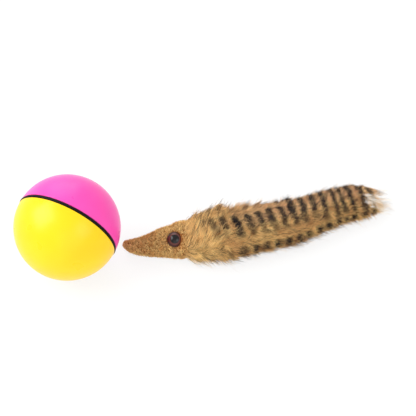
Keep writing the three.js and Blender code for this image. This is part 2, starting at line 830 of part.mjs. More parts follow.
function station(share) {
    const halfHeight = smoothShare(share, 3) * animalHalfHeight;
    return {
        along: share * animalLength,
        side: smoothShare(share, 1) * animalLength,
        halfWidth: smoothShare(share, 2) * animalHalfWidth,
        halfHeight,
        height: halfHeight - bellyCut + Math.max(0, smoothShare(share, 4)) * animalHalfHeight,
    };
}

function heading(share) {
    const step = ringStep / animalLength / 2;
    const [before, after] = [station(share - step), station(share + step)];
    return Math.atan2(after.side - before.side, after.along - before.along);
}

// One piece of the animal between two shares.
// An end at a bend is two faces that meet on the bend's upright line.
function animalPiece(fromShare, toShare, bendAtStart, bendAtEnd) {
    const lean = Math.tan(THREE.MathUtils.degToRad((bendLimit + bendClearance) / 2));
    const length = (toShare - fromShare) * animalLength;
    const rings = Math.ceil(length / ringStep);
    const places = [];
    const corners = [];
    for (let i = 0; i <= rings; i++) {
        const share = fromShare + (toShare - fromShare) * i / rings;
        const here = station(share);
        const way = heading(share);
        for (let k = 0; k < ringPoints; k++) {
            const angle = 2 * Math.PI * k / ringPoints + Math.PI / 2;
            const sideways = here.halfWidth * Math.cos(angle);
            const up = here.halfHeight * Math.sin(angle);
            let back = 0;
            if (bendAtStart) {
                back += (Math.abs(sideways) * lean + bendGap / 2) * (1 - i / rings) ** 2;
            }
            if (bendAtEnd) {
                back -= (Math.abs(sideways) * lean + bendGap / 2) * (i / rings) ** 2;
            }
            places.push(
                here.along + back * Math.cos(way) - sideways * Math.sin(way),
                here.side + back * Math.sin(way) + sideways * Math.cos(way),
                here.height + up);
        }
    }
    for (let i = 0; i < rings; i++) {
        for (let k = 0; k < ringPoints; k++) {
            const next = (k + 1) % ringPoints;
            const [a, b] = [i * ringPoints + k, i * ringPoints + next];
            const [c, d] = [a + ringPoints, b + ringPoints];
            corners.push(a, b, c, b, d, c);
        }
    }
    const ends = [[0, fromShare, bendAtStart, 1], [rings, toShare, bendAtEnd, -1]];
    for (const [ring, share, open, flip] of ends) {
        const here = station(share);
        const way = heading(share);
        const back = open ? flip * bendGap / 2 : 0;
        const middle = places.length / 3;
        places.push(here.along + back * Math.cos(way), here.side + back * Math.sin(way), here.height);
        for (let k = 0; k < ringPoints; k++) {
            const [a, b] = [ring * ringPoints + k, ring * ringPoints + (k + 1) % ringPoints];
            corners.push(...(flip > 0 ? [middle, b, a] : [middle, a, b]));
        }
    }
    const geometry = new THREE.BufferGeometry();
    geometry.setAttribute('position', new THREE.BufferAttribute(new Float32Array(places), 3));
    geometry.setIndex(corners);
    const floor = block(-animalLength, 2 * animalLength, -animalLength, animalLength, -animalLength, 0);
    return closedSolid(geometry).subtract(floor);
}

// Frame at an eye: origin on the plush surface, Z outward
function eyeFrame(side) {
    const here = station(eyeShare);
    const way = heading(eyeShare);
    const angle = THREE.MathUtils.degToRad(side < 0 ? 180 - eyeTilt - headRoll : eyeTilt - headRoll);
    const [sideways, up] = [here.halfWidth * Math.cos(angle), here.halfHeight * Math.sin(angle)];
    const outward = new THREE.Vector3(
        -Math.sin(way) * Math.cos(angle), Math.cos(way) * Math.cos(angle), Math.sin(angle)).normalize();
    const place = new THREE.Vector3(
        here.along - sideways * Math.sin(way), here.side + sideways * Math.cos(way), here.height + up);
    const frame = new THREE.Matrix4().makeRotationFromQuaternion(
        new THREE.Quaternion().setFromUnitVectors(new THREE.Vector3(0, 0, 1), outward));
    return frame.setPosition(place);
}

function turnedAt(frame, profile, sides = roundSides) {
    const points = profile.map(([radius, height]) => new THREE.Vector2(radius, height));
    const geometry = new THREE.LatheGeometry(points, sides);
    geometry.rotateX(Math.PI / 2);
    geometry.applyMatrix4(frame);
    return closedSolid(geometry);
}

function domeProfile(radius, rise, level, steps) {
    const sphere = (radius ** 2 + rise ** 2) / (2 * rise);
    const start = Math.asin((sphere - rise) / sphere);
    return arcPoints(sphere, start, Math.PI / 2, steps).map(([x, y]) => [x, y - sphere + rise + level]);
}

function eyeLens(frame) {
    const base = -eyeSink;
    return turnedAt(frame, [
        [0, base + pupilThickness + fit],
        [pupilRadius + fit, base + pupilThickness + fit],
        [pupilRadius + fit, base],
        [eyeRadius, base],
        ...domeProfile(eyeRadius, eyeDome, base + eyeRim, domeSteps)]);
}

function eyePupil(frame) {
    const base = -eyeSink - faceGap;
    return turnedAt(frame, [
        [0, base + pupilThickness],
        [pupilRadius, base + pupilThickness],
        [pupilRadius, base],
        [eyeRadius, base],
        [eyeRadius, base - eyeFlange],
        [eyeStemRadius, base - eyeFlange],
        [eyeStemRadius, base - eyeFlange - eyeStemLength],
        [0, base - eyeFlange - eyeStemLength]]);
}

function eyeWasher(frame) {
    const top = -eyeSink - faceGap - eyeFlange - washerDepth;
    const inside = eyeStemRadius + fit / 2;
    return turnedAt(frame, [
        [inside, top],
        [inside, top - washerThickness],
        [washerRadius, top - washerThickness],
        [washerRadius, top],
        [inside, top]]);
}

function eyeSeat(frame) {
    const seat = -eyeSink - faceGap - eyeFlange - faceGap;
    const washerTop = -eyeSink - faceGap - eyeFlange - washerDepth + faceGap;
    const washerFoot = washerTop - washerThickness - 2 * faceGap;
    const stemEnd = -eyeSink - faceGap - eyeFlange - eyeStemLength - faceGap;
    return turnedAt(frame, [
        [0, overrun],
        [eyeRadius + fit, overrun],
        [eyeRadius + fit, seat],
        [eyeStemRadius + fit, seat],
        [eyeStemRadius + fit, washerTop],
        [washerRadius + fit, washerTop],
        [washerRadius + fit, washerFoot],
        [eyeStemRadius + fit, washerFoot],
        [eyeStemRadius + fit, stemEnd],
        [0, stemEnd]]);
}

// The ball's own frame: Z along its axis to the pink pole, X down
const poleAzimuth = THREE.MathUtils.degToRad(axisAzimuth);
const poleRise = THREE.MathUtils.degToRad(axisRise);
const pole = new THREE.Vector3(Math.cos(poleRise), 0, Math.sin(poleRise))
    .applyAxisAngle(new THREE.Vector3(0, 0, 1), poleAzimuth);
const down = new THREE.Vector3(0, 0, -1).addScaledVector(pole, pole.z).normalize();
const side = new THREE.Vector3().crossVectors(pole, down);
const ball = new THREE.Group();
ball.setRotationFromMatrix(new THREE.Matrix4().makeBasis(down, side, pole));
ball.position.set(0, 0, ballRadius);

const white = plastic(0xe9e7e0, 0.45);
const steel = metal(0xb9bcc0);
const dark = plastic(0x1b1b1d, 0.6);

addPiece(ball, 'pink_shell', pinkShell(), plastic(0xfd4fb4, 0.22));
addPiece(ball, 'yellow_shell', yellowShell(), plastic(0xfee02c, 0.22));
addPiece(ball, 'seam_ring', sealRing(), plastic(0x17140f, 0.4));
addPiece(ball, 'pink_hub', pinkHub(), white);
addPiece(ball, 'drive_axle', driveAxle(), steel);
addPiece(ball, 'final_gear', finalGear(), plastic(0xf4f2ea, 0.4));
for (let i = 0; i < hubScrewCount; i++) {
    const [x, y] = hubScrewPlace(i);
    addPiece(ball, `hub_screw_${i + 1}`, screw(x, y, hubLevel - faceGap, hubScrewLength), steel);
}

addPiece(ball, 'drive_frame', driveFrame(), white);
addPiece(ball, 'gearbox_cover', gearboxCover(), plastic(0xdfe3e6, 0.4));
coverScrewPlaces.forEach(([x, y], i) => {
    addPiece(ball, `cover_screw_${i + 1}`, screw(x, y, plateLevel - faceGap, coverScrewLength), steel);
});
addPiece(ball, 'gear_1_pin', gearPin(gear1Centre), steel);
addPiece(ball, 'gear_2_pin', gearPin(gear2Centre), steel);
addPiece(ball, 'gear_1', compoundGear(gear1Centre, gapPhase(gear1Centre, motorCentre, wheelTeeth),
    directionTo(gear1Centre, gear2Centre), smallTeeth, firstLayer), plastic(0xf4f2ea, 0.4));
addPiece(ball, 'gear_2', compoundGear(gear2Centre, gapPhase(gear2Centre, gear1Centre, wheelTeeth),
    directionTo(gear2Centre, finalCentre), lastSmallTeeth, secondLayer), plastic(0xf4f2ea, 0.4));
addPiece(ball, 'motor_can', motorCan(), metal(0xa7abb0));
addPiece(ball, 'motor_end_cap', motorEndCap(), plastic(0xf1efe8, 0.5));
addPiece(ball, 'motor_shaft', motorShaft(), steel);
addPiece(ball, 'motor_armature', motorArmature(), metal(0x8a5a3a, 0.5));
addPiece(ball, 'motor_magnet_1', motorMagnet(1), plastic(0x3a3a3c, 0.7));
addPiece(ball, 'motor_magnet_2', motorMagnet(-1), plastic(0x3a3a3c, 0.7));
addPiece(ball, 'motor_pinion', pinion(), metal(0xc9a24a));
addPiece(ball, 'battery', battery(), metal(0x4a6b58, 0.4));
addPiece(ball, 'contact_plate', contactPlate(), steel);
addPiece(ball, 'contact_spring', contactSpring(), steel);
addPiece(ball, 'battery_door', batteryDoor(), white);
addPiece(ball, 'switch_body', switchBody(), dark);
addPiece(ball, 'switch_knob', switchKnob(), dark);
addPiece(ball, 'red_wire', wire(redWireRoute), plastic(0xc02020, 0.5));
addPiece(ball, 'black_wire', wire(blackWireRoute), plastic(0x141414, 0.5));
addPiece(ball, 'switch_wire', wire(switchWireRoute), plastic(0xc02020, 0.5));

// The animal's own frame: nose tip at the origin, X towards the tail end
const animal = new THREE.Group();
animal.position.set(noseX, noseY, 0);
animal.rotation.z = THREE.MathUtils.degToRad(animalYaw);

const snoutPlush = plastic(0xa8743f, 0.95);
const longFur = plastic(0x9c7a4f, 0.95);
const eyeFrames = [['near', eyeFrame(-1)], ['far', eyeFrame(1)]];
const eyeSeats = joined(eyeFrames.map(([, frame]) => eyeSeat(frame)));
const head = animalPiece(spineShares[0][0], neckShare, false, true).subtract(eyeSeats);
addPiece(animal, 'animal_head', head, snoutPlush);
addPiece(animal, 'animal_body', animalPiece(neckShare, hipShare, true, true), longFur);
addPiece(animal, 'animal_tail', animalPiece(hipShare, spineShares.at(-1)[0], true, false), longFur);
for (const [name, frame] of eyeFrames) {
    addPiece(animal, `${name}_eye_lens`, eyeLens(frame), plastic(0x7a3410, 0.05));
    addPiece(animal, `${name}_eye_pupil`, eyePupil(frame), plastic(0x050505, 0.1));
    addPiece(animal, `${name}_eye_washer`, eyeWasher(frame), white);
}

// The whole toy, with its origin under the middle of its box
const toy = new THREE.Group();
toy.add(ball, animal);
toy.updateMatrixWorld(true);
const extent = new THREE.Box3().setFromObject(toy, true);
const middle = extent.getCenter(new THREE.Vector3());
toy.position.set(-middle.x, -middle.y, -extent.min.z);
toy.updateMatrixWorld(true);

export default toy;
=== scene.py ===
"""Dresses the electric ball cat toy: glossy two-colour ball, short-pile snout and long striped fur."""

import json
from math import asin, atan2, ceil, cos, hypot, pi, radians, sin, sqrt, tan

import bmesh
import bpy
import numpy as np
from mathutils import Matrix, Vector


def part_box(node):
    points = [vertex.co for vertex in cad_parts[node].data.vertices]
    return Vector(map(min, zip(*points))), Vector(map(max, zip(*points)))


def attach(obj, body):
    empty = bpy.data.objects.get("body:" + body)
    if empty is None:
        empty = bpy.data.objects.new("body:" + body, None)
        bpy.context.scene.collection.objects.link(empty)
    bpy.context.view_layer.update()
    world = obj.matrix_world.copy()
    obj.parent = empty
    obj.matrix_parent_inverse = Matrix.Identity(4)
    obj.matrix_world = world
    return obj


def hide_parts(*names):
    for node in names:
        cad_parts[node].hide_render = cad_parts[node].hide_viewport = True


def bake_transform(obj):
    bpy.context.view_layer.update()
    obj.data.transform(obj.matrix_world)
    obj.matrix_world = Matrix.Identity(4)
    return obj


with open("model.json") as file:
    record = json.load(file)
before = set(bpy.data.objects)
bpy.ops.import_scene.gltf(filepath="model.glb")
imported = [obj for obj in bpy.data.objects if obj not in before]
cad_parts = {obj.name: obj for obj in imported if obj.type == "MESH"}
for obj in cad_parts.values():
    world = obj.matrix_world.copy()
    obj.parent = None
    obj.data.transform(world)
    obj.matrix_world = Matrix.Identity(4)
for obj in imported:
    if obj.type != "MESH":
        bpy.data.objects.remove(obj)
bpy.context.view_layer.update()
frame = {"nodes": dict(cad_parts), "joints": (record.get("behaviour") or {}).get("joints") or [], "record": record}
rng = np.random.default_rng(7)

MM = 0.001

# Ball, placed by the joint that it turns on
joints = {j["name"]: j for j in frame["joints"]}
BALL_CENTRE = Vector(joints["drive_spin"]["pos_m"])
BALL_AXIS = Vector(joints["drive_spin"]["axis"]).normalized()
BALL_RADIUS = 42.0 * MM
SHELL_WALL = 2.0 * MM
SEAL_WIDTH = 2.5 * MM
SEAL_GAP = 0.2 * MM
SEAL_INSET = 0.72
SEAL_STEPS = 12
RIM_GAP = 0.12 * MM
RIM_ROUND = 0.35 * MM
RIM_RADII = 1.3
RIM_STEPS = 5
COLLAR_OUTSIDE = 37.1 * MM
COLLAR_WALL = 1.6 * MM
COLLAR_RISE = 7.6 * MM
COLLAR_FOOT = 3.5 * MM
SOCKET_INSIDE = 3.2 * MM
SOCKET_OUTSIDE = 5.4 * MM
SOCKET_LEVEL = 32.0 * MM
POST_RADIUS = 2.6 * MM
POST_HOLE = 1.3 * MM
POST_CIRCLE = 8.6 * MM
POST_LEVEL = 31.75 * MM
TUBE_SIDES = 40
LUG_COUNT = 3
LUG_ARC = radians(32)
LUG_HEIGHT = 1.6 * MM
LUG_STEPS = 10
PINK_LUG = (37.3 * MM, 39.6 * MM, 3.15 * MM)
YELLOW_LUG = (36.3 * MM, 38.7 * MM, 4.9 * MM)
BALL_SIDES = 144
BALL_STEPS = 40
ON_AXIS = 1e-6
CREASE_ANGLE = radians(35)

# Animal: the same curved middle line and sections as the solids have. A row of the table is a share of the
# length, the line's shift to the side, the half width, the half height and the lift off the floor
ANIMAL_LENGTH = 214.0 * MM
HALF_WIDTH = 22.6 * MM
HALF_HEIGHT = 18.0 * MM
BELLY_CUT = 0.5 * MM
NECK_SHARE = 0.265
HIP_SHARE = 0.665
SPINE_SHARES = np.array([
    [0, 0, 0.11, 0.14, 0.33], [0.018, -0.014, 0.19, 0.25, 0.26], [0.053, -0.026, 0.29, 0.37, 0.13],
    [0.088, -0.034, 0.38, 0.49, 0.04], [0.122, -0.039, 0.47, 0.6, 0], [0.157, -0.043, 0.55, 0.68, 0],
    [0.19, -0.05, 0.64, 0.76, 0], [0.225, -0.055, 0.73, 0.82, 0], [0.26, -0.061, 0.82, 0.88, 0],
    [0.31, -0.068, 0.92, 0.97, 0], [0.36, -0.074, 0.98, 1, 0], [0.42, -0.078, 0.97, 0.99, 0],
    [0.49, -0.073, 0.93, 0.95, 0], [0.56, -0.068, 0.91, 0.92, 0], [0.63, -0.062, 0.89, 0.9, 0],
    [0.7, -0.047, 0.83, 0.84, 0], [0.77, -0.028, 0.77, 0.78, 0], [0.84, -0.014, 0.74, 0.75, 0],
    [0.9, -0.004, 0.74, 0.75, 0], [0.95, 0, 0.74, 0.74, 0], [0.985, 0.001, 0.66, 0.66, 0],
    [1, 0.001, 0.54, 0.54, 0], [1.01, 0.001, 0.36, 0.36, 0]])
TABLE_END = 1.01
SLOPE_STEP = 1e-3
ROLL = radians(24)
BACK = pi / 2 - ROLL
FUR_START = 0.222
HALF_SHARE = 0.465
FUR_DEPTH = 3.6 * MM
PILE_DEPTH = 0.9 * MM
CHIN_DEPTH = 2.2 * MM
FLOOR_GAP = 0.25 * MM
LEAST_RADIUS = 0.4 * MM

# Brush of the tail: it keeps the sections of its start, drawn in a little, past the solid end
BRUSH_START = 0.965
BRUSH_END = 1.35
BRUSH_STEPS = 1351
BRUSH_SETTLE = 0.07
BRUSH_NARROWER = 0.2
BRUSH_LOWER = 0.3

# Backing under the hair: closed lengths of the body that take the place of the solids
HEAD_BACK = 0.258
PELT_START = 0.248
PELT_OVERLAP = 0.004
PELT_INSET = 0.2 * MM
PELT_END = 0.93
HEAD_SPACING = 1.6 * MM
PELT_SPACING = 2 * MM
BACKING_SIDES = 56
# The pelt takes the colour of the hair roots, with their painted shade
BACKING_TONE = 0.2
BACKING_TIP = 0.1
END_SHRINK = 0.55
NECK_REACH = 0.045
HIP_REACH = 0.07

# Eyes
EYE_RADIUS = 6.2 * MM
EYE_SHARE = 0.193
EYE_RIM = 0.8 * MM
EYE_EDGE = 0.2 * MM
EYE_STEPS = 24
EYE_SIDES = 64

# Dark bars, in millimetres from the nose at 45 degrees below the back
BAR_PLACES = np.array([
    62, 73.4, 81.4, 91.5, 101.6, 110.9, 120.8, 130.5, 138.4, 147.2, 156.8, 166.6, 176.9, 183.8, 191.6, 202.4,
    211.5, 224, 238])
BAR_LEVEL = 45
# By millimetres from the nose: millimetres that the bars lean per degree round the body, degrees from the
# back where they begin on the near side and on the far side, where they get weak, and how dark they are
BAR_LEANS = np.array([
    [60, 90, 120, 130, 145, 157, 170, 185, 205],
    [0.1, 0.05, 0.02, 0.01, -0.08, -0.1, -0.08, -0.04, 0]])
BAR_TOPS = np.array([[60, 100, 120, 130, 140, 150], [16, 10, 3, -8, -40, -90]])
BAR_FAR_TOPS = np.array([[60, 120, 130, 140, 150], [52, 45, 20, -20, -90]])
BAR_FEET = np.array([[60, 165, 178, 195, 210], [47, 47, 58, 70, 80]])
BAR_DARKNESS = np.array([[70, 84, 196, 204], [0.7, 1, 1, 0.9]])
# For each bar: how dark its weak end is, and how many degrees below its foot it stops
BAR_TAILS = np.array([
    0.3, 0.5, 0.3, 0.8, 0.6, 0.45, 0.5, 0.7, 0.8, 0.72, 0.5, 0.75, 0.78, 0.75, 0.8, 0.75, 0.5, 0.5])
BAR_ENDS = np.array([34, 34, 34, 34, 34, 34, 34, 34, 34, 38, 34, 62, 66, 40, 36, 34, 34, 34])

# Tufts at the tail's end: how far the fur reaches at each angle from the back, as shares of the length
END_TUFTS = np.array([
    [-180, -130, -110, -80, -50, -20, -10, 2, 14, 26, 45, 60, 76, 88, 98, 113, 128, 140, 180],
    [0.95, 0.95, 0.96, 0.95, 0.94, 0.95, 1, 1.022, 1.016, 0.975, 0.952, 0.964, 0.966, 0.962, 1, 1.022, 1,
     0.96, 0.95]])

# Hair. A tone from 0 to 1 is dull to light tan, and two tones beyond it are for single hairs that stand out
DARK_TONE = -0.6
LIGHT_TONE = 1.5
MOST_HAIRS = 9000
HAIR_UP = np.array([0.12, 0.31, 0.94])
ROOT_DEPTH = 0.6 * MM
FUR_DROOP = 0.6 * MM
# Locks: their length, their width in radians and the seed of their own numbers
FUR_LOCKS = (4.0 * MM, 0.2, 11)
PILE_LOCKS = (1.2 * MM, 0.13, 5)
STRAND_LENGTH = 4.5 * MM
STRAND_WIDTH = 0.07
STRAND_SEED = 31
WISP_LOCKS = 46
WISP_SEED = 23
WISP_COUNT = 620
# Thickness at the root, and how it tapers from the root to the tip
FUR_WIDTH = 0.32 * MM
WISP_WIDTH = 0.12 * MM
PILE_WIDTH = 0.22 * MM
FUR_TAPER = np.array([1.0, 1.0, 0.85, 0.55, 0.0])
WISP_TAPER = np.array([1.0, 0.95, 0.85, 0.7, 0.45, 0.0])
PILE_TAPER = np.array([1.0, 1.0, 0.85, 0.6, 0.0])
PILE_LENGTH = 2.0 * MM
FUR_MILLIMETRES = 8.8
FUR_LENGTHS = (4 * MM, 24 * MM)
FUR_RISES = (0.5 * MM, 9 * MM)
# Spots where the fur differs: degrees from the back and their spread, share of the length and its spread
NAPE = (-26, 24, 0.345, 0.026)
MIDDLE_BACK = (-28, 24, 0.44, 0.05)
MIDDLE_BELLY = (130, 30, 0.44, 0.05)
# The same with millimetres from the nose: a painted shade in a parting of the fur low on the collar, then dark
# dashes at the nape
COLLAR_PARTING_SHADE = (84, 6, 58, 4)
NAPE_DASHES = ((-20, 9, 66, 3), (-12, 8, 74, 2.5))
# Name, count, start and end of each piece
PILE_PIECES = (("snout_pile", 12400, 0.0, 0.14), ("brow_pile", 9000, 0.14, 0.252))
# The same with the bend that it follows, and for guard hairs their thickness and height beside the fur's
FUR_PIECES = (
    ("fur_front_1", 10500, FUR_START, 0.34, "neck"),
    ("fur_front_2", 9200, 0.34, HALF_SHARE, "neck"),
    ("fur_rear_1", 9600, HALF_SHARE, 0.59, "hip"),
    ("fur_rear_2", 9600, 0.59, 0.72, "hip"),
    ("fur_rear_3", 10200, 0.72, 0.86, "hip"),
    ("fur_rear_4", 9800, 0.86, 0.985, "hip"),
    ("guard_hairs_front", 4600, FUR_START, HALF_SHARE, "neck", 0.26, 1.7),
    ("guard_hairs_rear", 4600, HALF_SHARE, 0.96, "hip", 0.26, 1.7))
PILE_EYE_GAP = 0.15 * MM
FUR_EYE_GAP = 0.6 * MM

# Floor and light. A lamp has a name, a place, a size and a power
FLOOR_SIZE = 12
FLOOR_WHITE = 0.82
WORLD_LIGHT = 0.8
LAMPS = (
    ("key", (-0.77, -0.12, 0.76), 0.7, 8.6),
    ("fill", (0.6, -0.6, 0.6), 0.5, 2.3),
    ("front", (0.12, -0.95, 0.34), 0.9, 2.0),
    ("back", (-0.2, 0.78, 0.7), 0.7, 3.0))
LAMP_TARGET = Vector((0, 0, 0.03))
WHITE = {"Color": (1, 1, 1, 1), "Strength": 1.0}

# Camera, from the photograph
CAMERA_PLACE = BALL_CENTRE + Vector((0.110918, -0.505292, 0.5841))
CAMERA_ELEVATION = radians(48)
CAMERA_HALF_ANGLE = radians(12)
SENSOR_WIDTH = 36


# Mesh helpers

def new_object(name, vertices, faces):
    mesh = bpy.data.meshes.new(name)
    mesh.from_pydata([tuple(v) for v in vertices], [], [tuple(f) for f in faces])
    mesh.validate()
    mesh.update()
    mesh.shade_smooth()
    return add_to_scene(name, mesh)


def add_to_scene(name, data, place=(0, 0, 0), turn=(0, 0, 0)):
    obj = bpy.data.objects.new(name, data)
    obj.location = place
    obj.rotation_euler = turn
    bpy.context.scene.collection.objects.link(obj)
    return obj


def add_material(obj, material):
    """Gives an object one material in place of those that it has."""
    obj.data.materials.clear()
    obj.data.materials.append(material)
    return obj


def ball_matrix():
    """Carries a turned profile to the ball: its Z to the ball's axis and its X downwards."""
    down = (Vector((0, 0, -1)) + BALL_AXIS * BALL_AXIS.z).normalized()
    turn = Matrix((down, BALL_AXIS.cross(down), BALL_AXIS)).transposed()
    return Matrix.Translation(BALL_CENTRE) @ turn.to_4x4()


def lathe(profile, sides):
    """Vertices and faces of a closed profile of (radius, height) points turned about Z."""
    vertices, faces, rings = [], [], []
    for radius, height in profile:
        if radius <= ON_AXIS:
            rings.append([len(vertices)])
            vertices.append((0, 0, height))
            continue
        rings.append(list(range(len(vertices), len(vertices) + sides)))
        for k in range(sides):
            angle = 2 * pi * k / sides
            vertices.append((radius * cos(angle), radius * sin(angle), height))
    for a, b in zip(rings, rings[1:] + rings[:1]):
        for k in range(sides):
            n = (k + 1) % sides
            if len(a) > 1 and len(b) > 1:
                faces.append((a[k], a[n], b[n], b[k]))
            elif len(a) > 1:
                faces.append((a[k], a[n], b[0]))
            elif len(b) > 1:
                faces.append((a[0], b[n], b[k]))
    return vertices, faces


def arc(radius, start, end, steps, centre=(0, 0)):
    angles = [start + (end - start) * i / steps for i in range(steps + 1)]
    return [(centre[0] + radius * cos(angle), centre[1] + radius * sin(angle)) for angle in angles]


def joined(*meshes):
    vertices, faces = [], []
    for part_vertices, part_faces in meshes:
        base = len(vertices)
        vertices.extend(part_vertices)
        faces.extend(tuple(base + i for i in f) for f in part_faces)
    return vertices, faces


def lug_mesh(inside, outside, low, angle_at_middle):
    """A short length of a ring with a square section."""
    high = low + LUG_HEIGHT
    vertices, faces = [], []
    for i in range(LUG_STEPS + 1):
        angle = angle_at_middle - LUG_ARC / 2 + LUG_ARC * i / LUG_STEPS
        for radius, level in ((inside, low), (outside, low), (outside, high), (inside, high)):
            vertices.append((radius * cos(angle), radius * sin(angle), level))
    for i in range(LUG_STEPS):
        for k in range(4):
            a, b = 4 * i + k, 4 * i + (k + 1) % 4
            faces.append((a, b, b + 4, a + 4))
    last = 4 * LUG_STEPS
    faces += [(3, 2, 1, 0), (last, last + 1, last + 2, last + 3)]
    return vertices, faces


def outward(obj):
    """Turns every closed island of a mesh to face out."""
    working = bmesh.new()
    working.from_mesh(obj.data)
    bmesh.ops.recalc_face_normals(working, faces=working.faces)
    working.to_mesh(obj.data)
    working.free()
    return obj


# Materials

def node_material(name):
    material = bpy.data.materials.new(name)
    material.use_nodes = True
    tree = material.node_tree
    return material, tree, tree.nodes["Principled BSDF"]


def fill(node, inputs):
    """Gives a node's inputs numbers, colours or the outputs of other nodes."""
    for name, value in inputs.items():
        if isinstance(value, (int, float, tuple)):
            node.inputs[name].default_value = value
        else:
            node.id_data.links.new(value, node.inputs[name])


def new_node(tree, kind, inputs, output, **settings):
    """One output of a new node. A helper that gets a socket or a node finds the tree by it."""
    node = tree.nodes.new(kind)
    for name, value in settings.items():
        setattr(node, name, value)
    fill(node, inputs)
    return node.outputs[output]


def dress(shader, colour, roughness, specular):
    fill(shader, {"Base Color": colour, "Roughness": roughness, "Specular IOR Level": specular})


def noise(tree, scale, detail, vector=None):
    """Grey clouds, laid out in the object's own space if no vector is given."""
    if vector is None:
        vector = new_node(tree, "ShaderNodeTexCoord", {}, "Object")
    return new_node(tree, "ShaderNodeTexNoise", {"Scale": scale, "Detail": detail, "Vector": vector}, "Fac")


def math_node(operation, first, *more):
    inputs = dict(enumerate((first, *more)))
    return new_node(first.id_data, "ShaderNodeMath", inputs, 0, operation=operation)


def product(first, second):
    return math_node("MULTIPLY", first, second)


def map_range(value, low, high, to_low=0, to_high=1):
    inputs = {"Value": value, "From Min": low, "From Max": high, "To Min": to_low, "To Max": to_high}
    return new_node(value.id_data, "ShaderNodeMapRange", inputs, "Result", interpolation_type="SMOOTHSTEP")


def mix_colour(share, first, second):
    """Mixes two colours: a node's output, a screen colour of 0 to 255 or a linear one with alpha."""
    first, second = [linear(*c) if isinstance(c, tuple) and len(c) == 3 else c for c in (first, second)]
    inputs = {"Factor": share, "A": first, "B": second}
    return new_node(share.id_data, "ShaderNodeMix", inputs, "Result", data_type="RGBA")


def bump(shader, height, strength, distance):
    inputs = {"Strength": strength, "Distance": distance, "Height": height}
    fill(shader, {"Normal": new_node(shader.id_data, "ShaderNodeBump", inputs, "Normal")})


def attribute(tree, name):
    """A number that is stored on the points of the mesh."""
    return new_node(tree, "ShaderNodeAttribute", {}, "Fac", attribute_name=name)


def linear(red, green, blue):
    """A screen colour of 0 to 255 as the renderer counts it."""
    def channel(value):
        value /= 255
        return value / 12.92 if value <= 0.04045 else ((value + 0.055) / 1.055) ** 2.4
    return (channel(red), channel(green), channel(blue), 1.0)


def moulded_plastic(name, colour, deep, roughness=0.3, specular=0.5):
    """Moulded plastic: faint flow clouds in the colour, a fine skin and uneven gloss."""
    material, tree, shader = node_material(name)
    cloud = map_range(noise(tree, 22, 4), 0.3, 0.75)
    uneven = map_range(noise(tree, 60, 2), 0.3, 0.7, roughness - 0.03, roughness + 0.04)
    dress(shader, mix_colour(cloud, colour, deep), uneven, specular)
    bump(shader, noise(tree, 1500, 2), 0.04, 0.0002)
    return material


def rubber(name):
    material, tree, shader = node_material(name)
    grain = noise(tree, 900, 3)
    dress(shader, mix_colour(grain, (5, 4, 4), (12, 10, 10)), 0.5, 0.12)
    bump(shader, grain, 0.1, 0.0002)
    return material


def bare_metal(name, colour):
    """Metal with fine brush marks along Z, duller between them."""
    material, tree, shader = node_material(name)
    place = new_node(tree, "ShaderNodeTexCoord", {}, "Object")
    stretched = new_node(tree, "ShaderNodeMapping", {"Vector": place, "Scale": (1, 1, 14)}, "Vector")
    brush = noise(tree, 700, 4, stretched)
    dull = tuple(c * 0.8 for c in linear(*colour)[:3]) + (1.0,)
    roughness = map_range(brush, 0.2, 0.8, 0.24, 0.44)
    dress(shader, mix_colour(brush, colour, dull), roughness, 0.5)
    fill(shader, {"Metallic": 1.0})
    return material


def pile_material():
    """Golden brown that darkens in patches, from a place on the head and a tone of its own for each hair."""
    material, tree, shader = node_material("short_pile")
    patch = map_range(noise(tree, 190, 3), 0.42, 0.6)
    speck = map_range(noise(tree, 620, 2), 0.45, 0.58)
    golden = mix_colour(patch, (255, 226, 154), (226, 166, 96))
    speckled = mix_colour(product(speck, 0.8), golden, (160, 106, 56))
    own = product(attribute(tree, "tone"), 0.5)
    dress(shader, mix_colour(own, speckled, (255, 220, 150)), 0.75, 0.25)
    return material


def backing_material():
    material, tree, shader = node_material("snout_backing")
    weave = noise(tree, 900, 2)
    dress(shader, mix_colour(weave, (150, 97, 52), (118, 72, 38)), 0.95, 0.1)
    bump(shader, weave, 0.6, 0.0006)
    return material


def spread_flat(along, along_scale, around, around_scale):
    """Lays the animal's skin out flat, so that a noise on it follows the fur."""
    inputs = {"X": product(along, along_scale), "Y": product(around, around_scale)}
    return new_node(along.id_data, "ShaderNodeCombineXYZ", inputs, "Vector")


def bar_darkness(tree, along, around, tone, flat):
    """How dark the bars and spots are: edges that wander, thin places, and light hairs that stay light."""
    shift = map_range(noise(tree, 1, 3, flat), 0.25, 0.75, -0.06, 0.06)
    saw = math_node("FRACT", math_node("ADD", attribute(tree, "phase"), shift))
    middle = math_node("ABSOLUTE", math_node("SUBTRACT", saw, 0.5))
    bar = map_range(middle, 0.21, 0.35, 1, 0)
    holes = noise(tree, 1.3, 2, spread_flat(along, 0.16, around, 0.09))
    whole = map_range(holes, 0.28, 0.42, 0.45, 1)
    dark = product(product(bar, whole), attribute(tree, "barred"))
    return product(dark, map_range(tone, 1.05, 1.2, 1, 0))


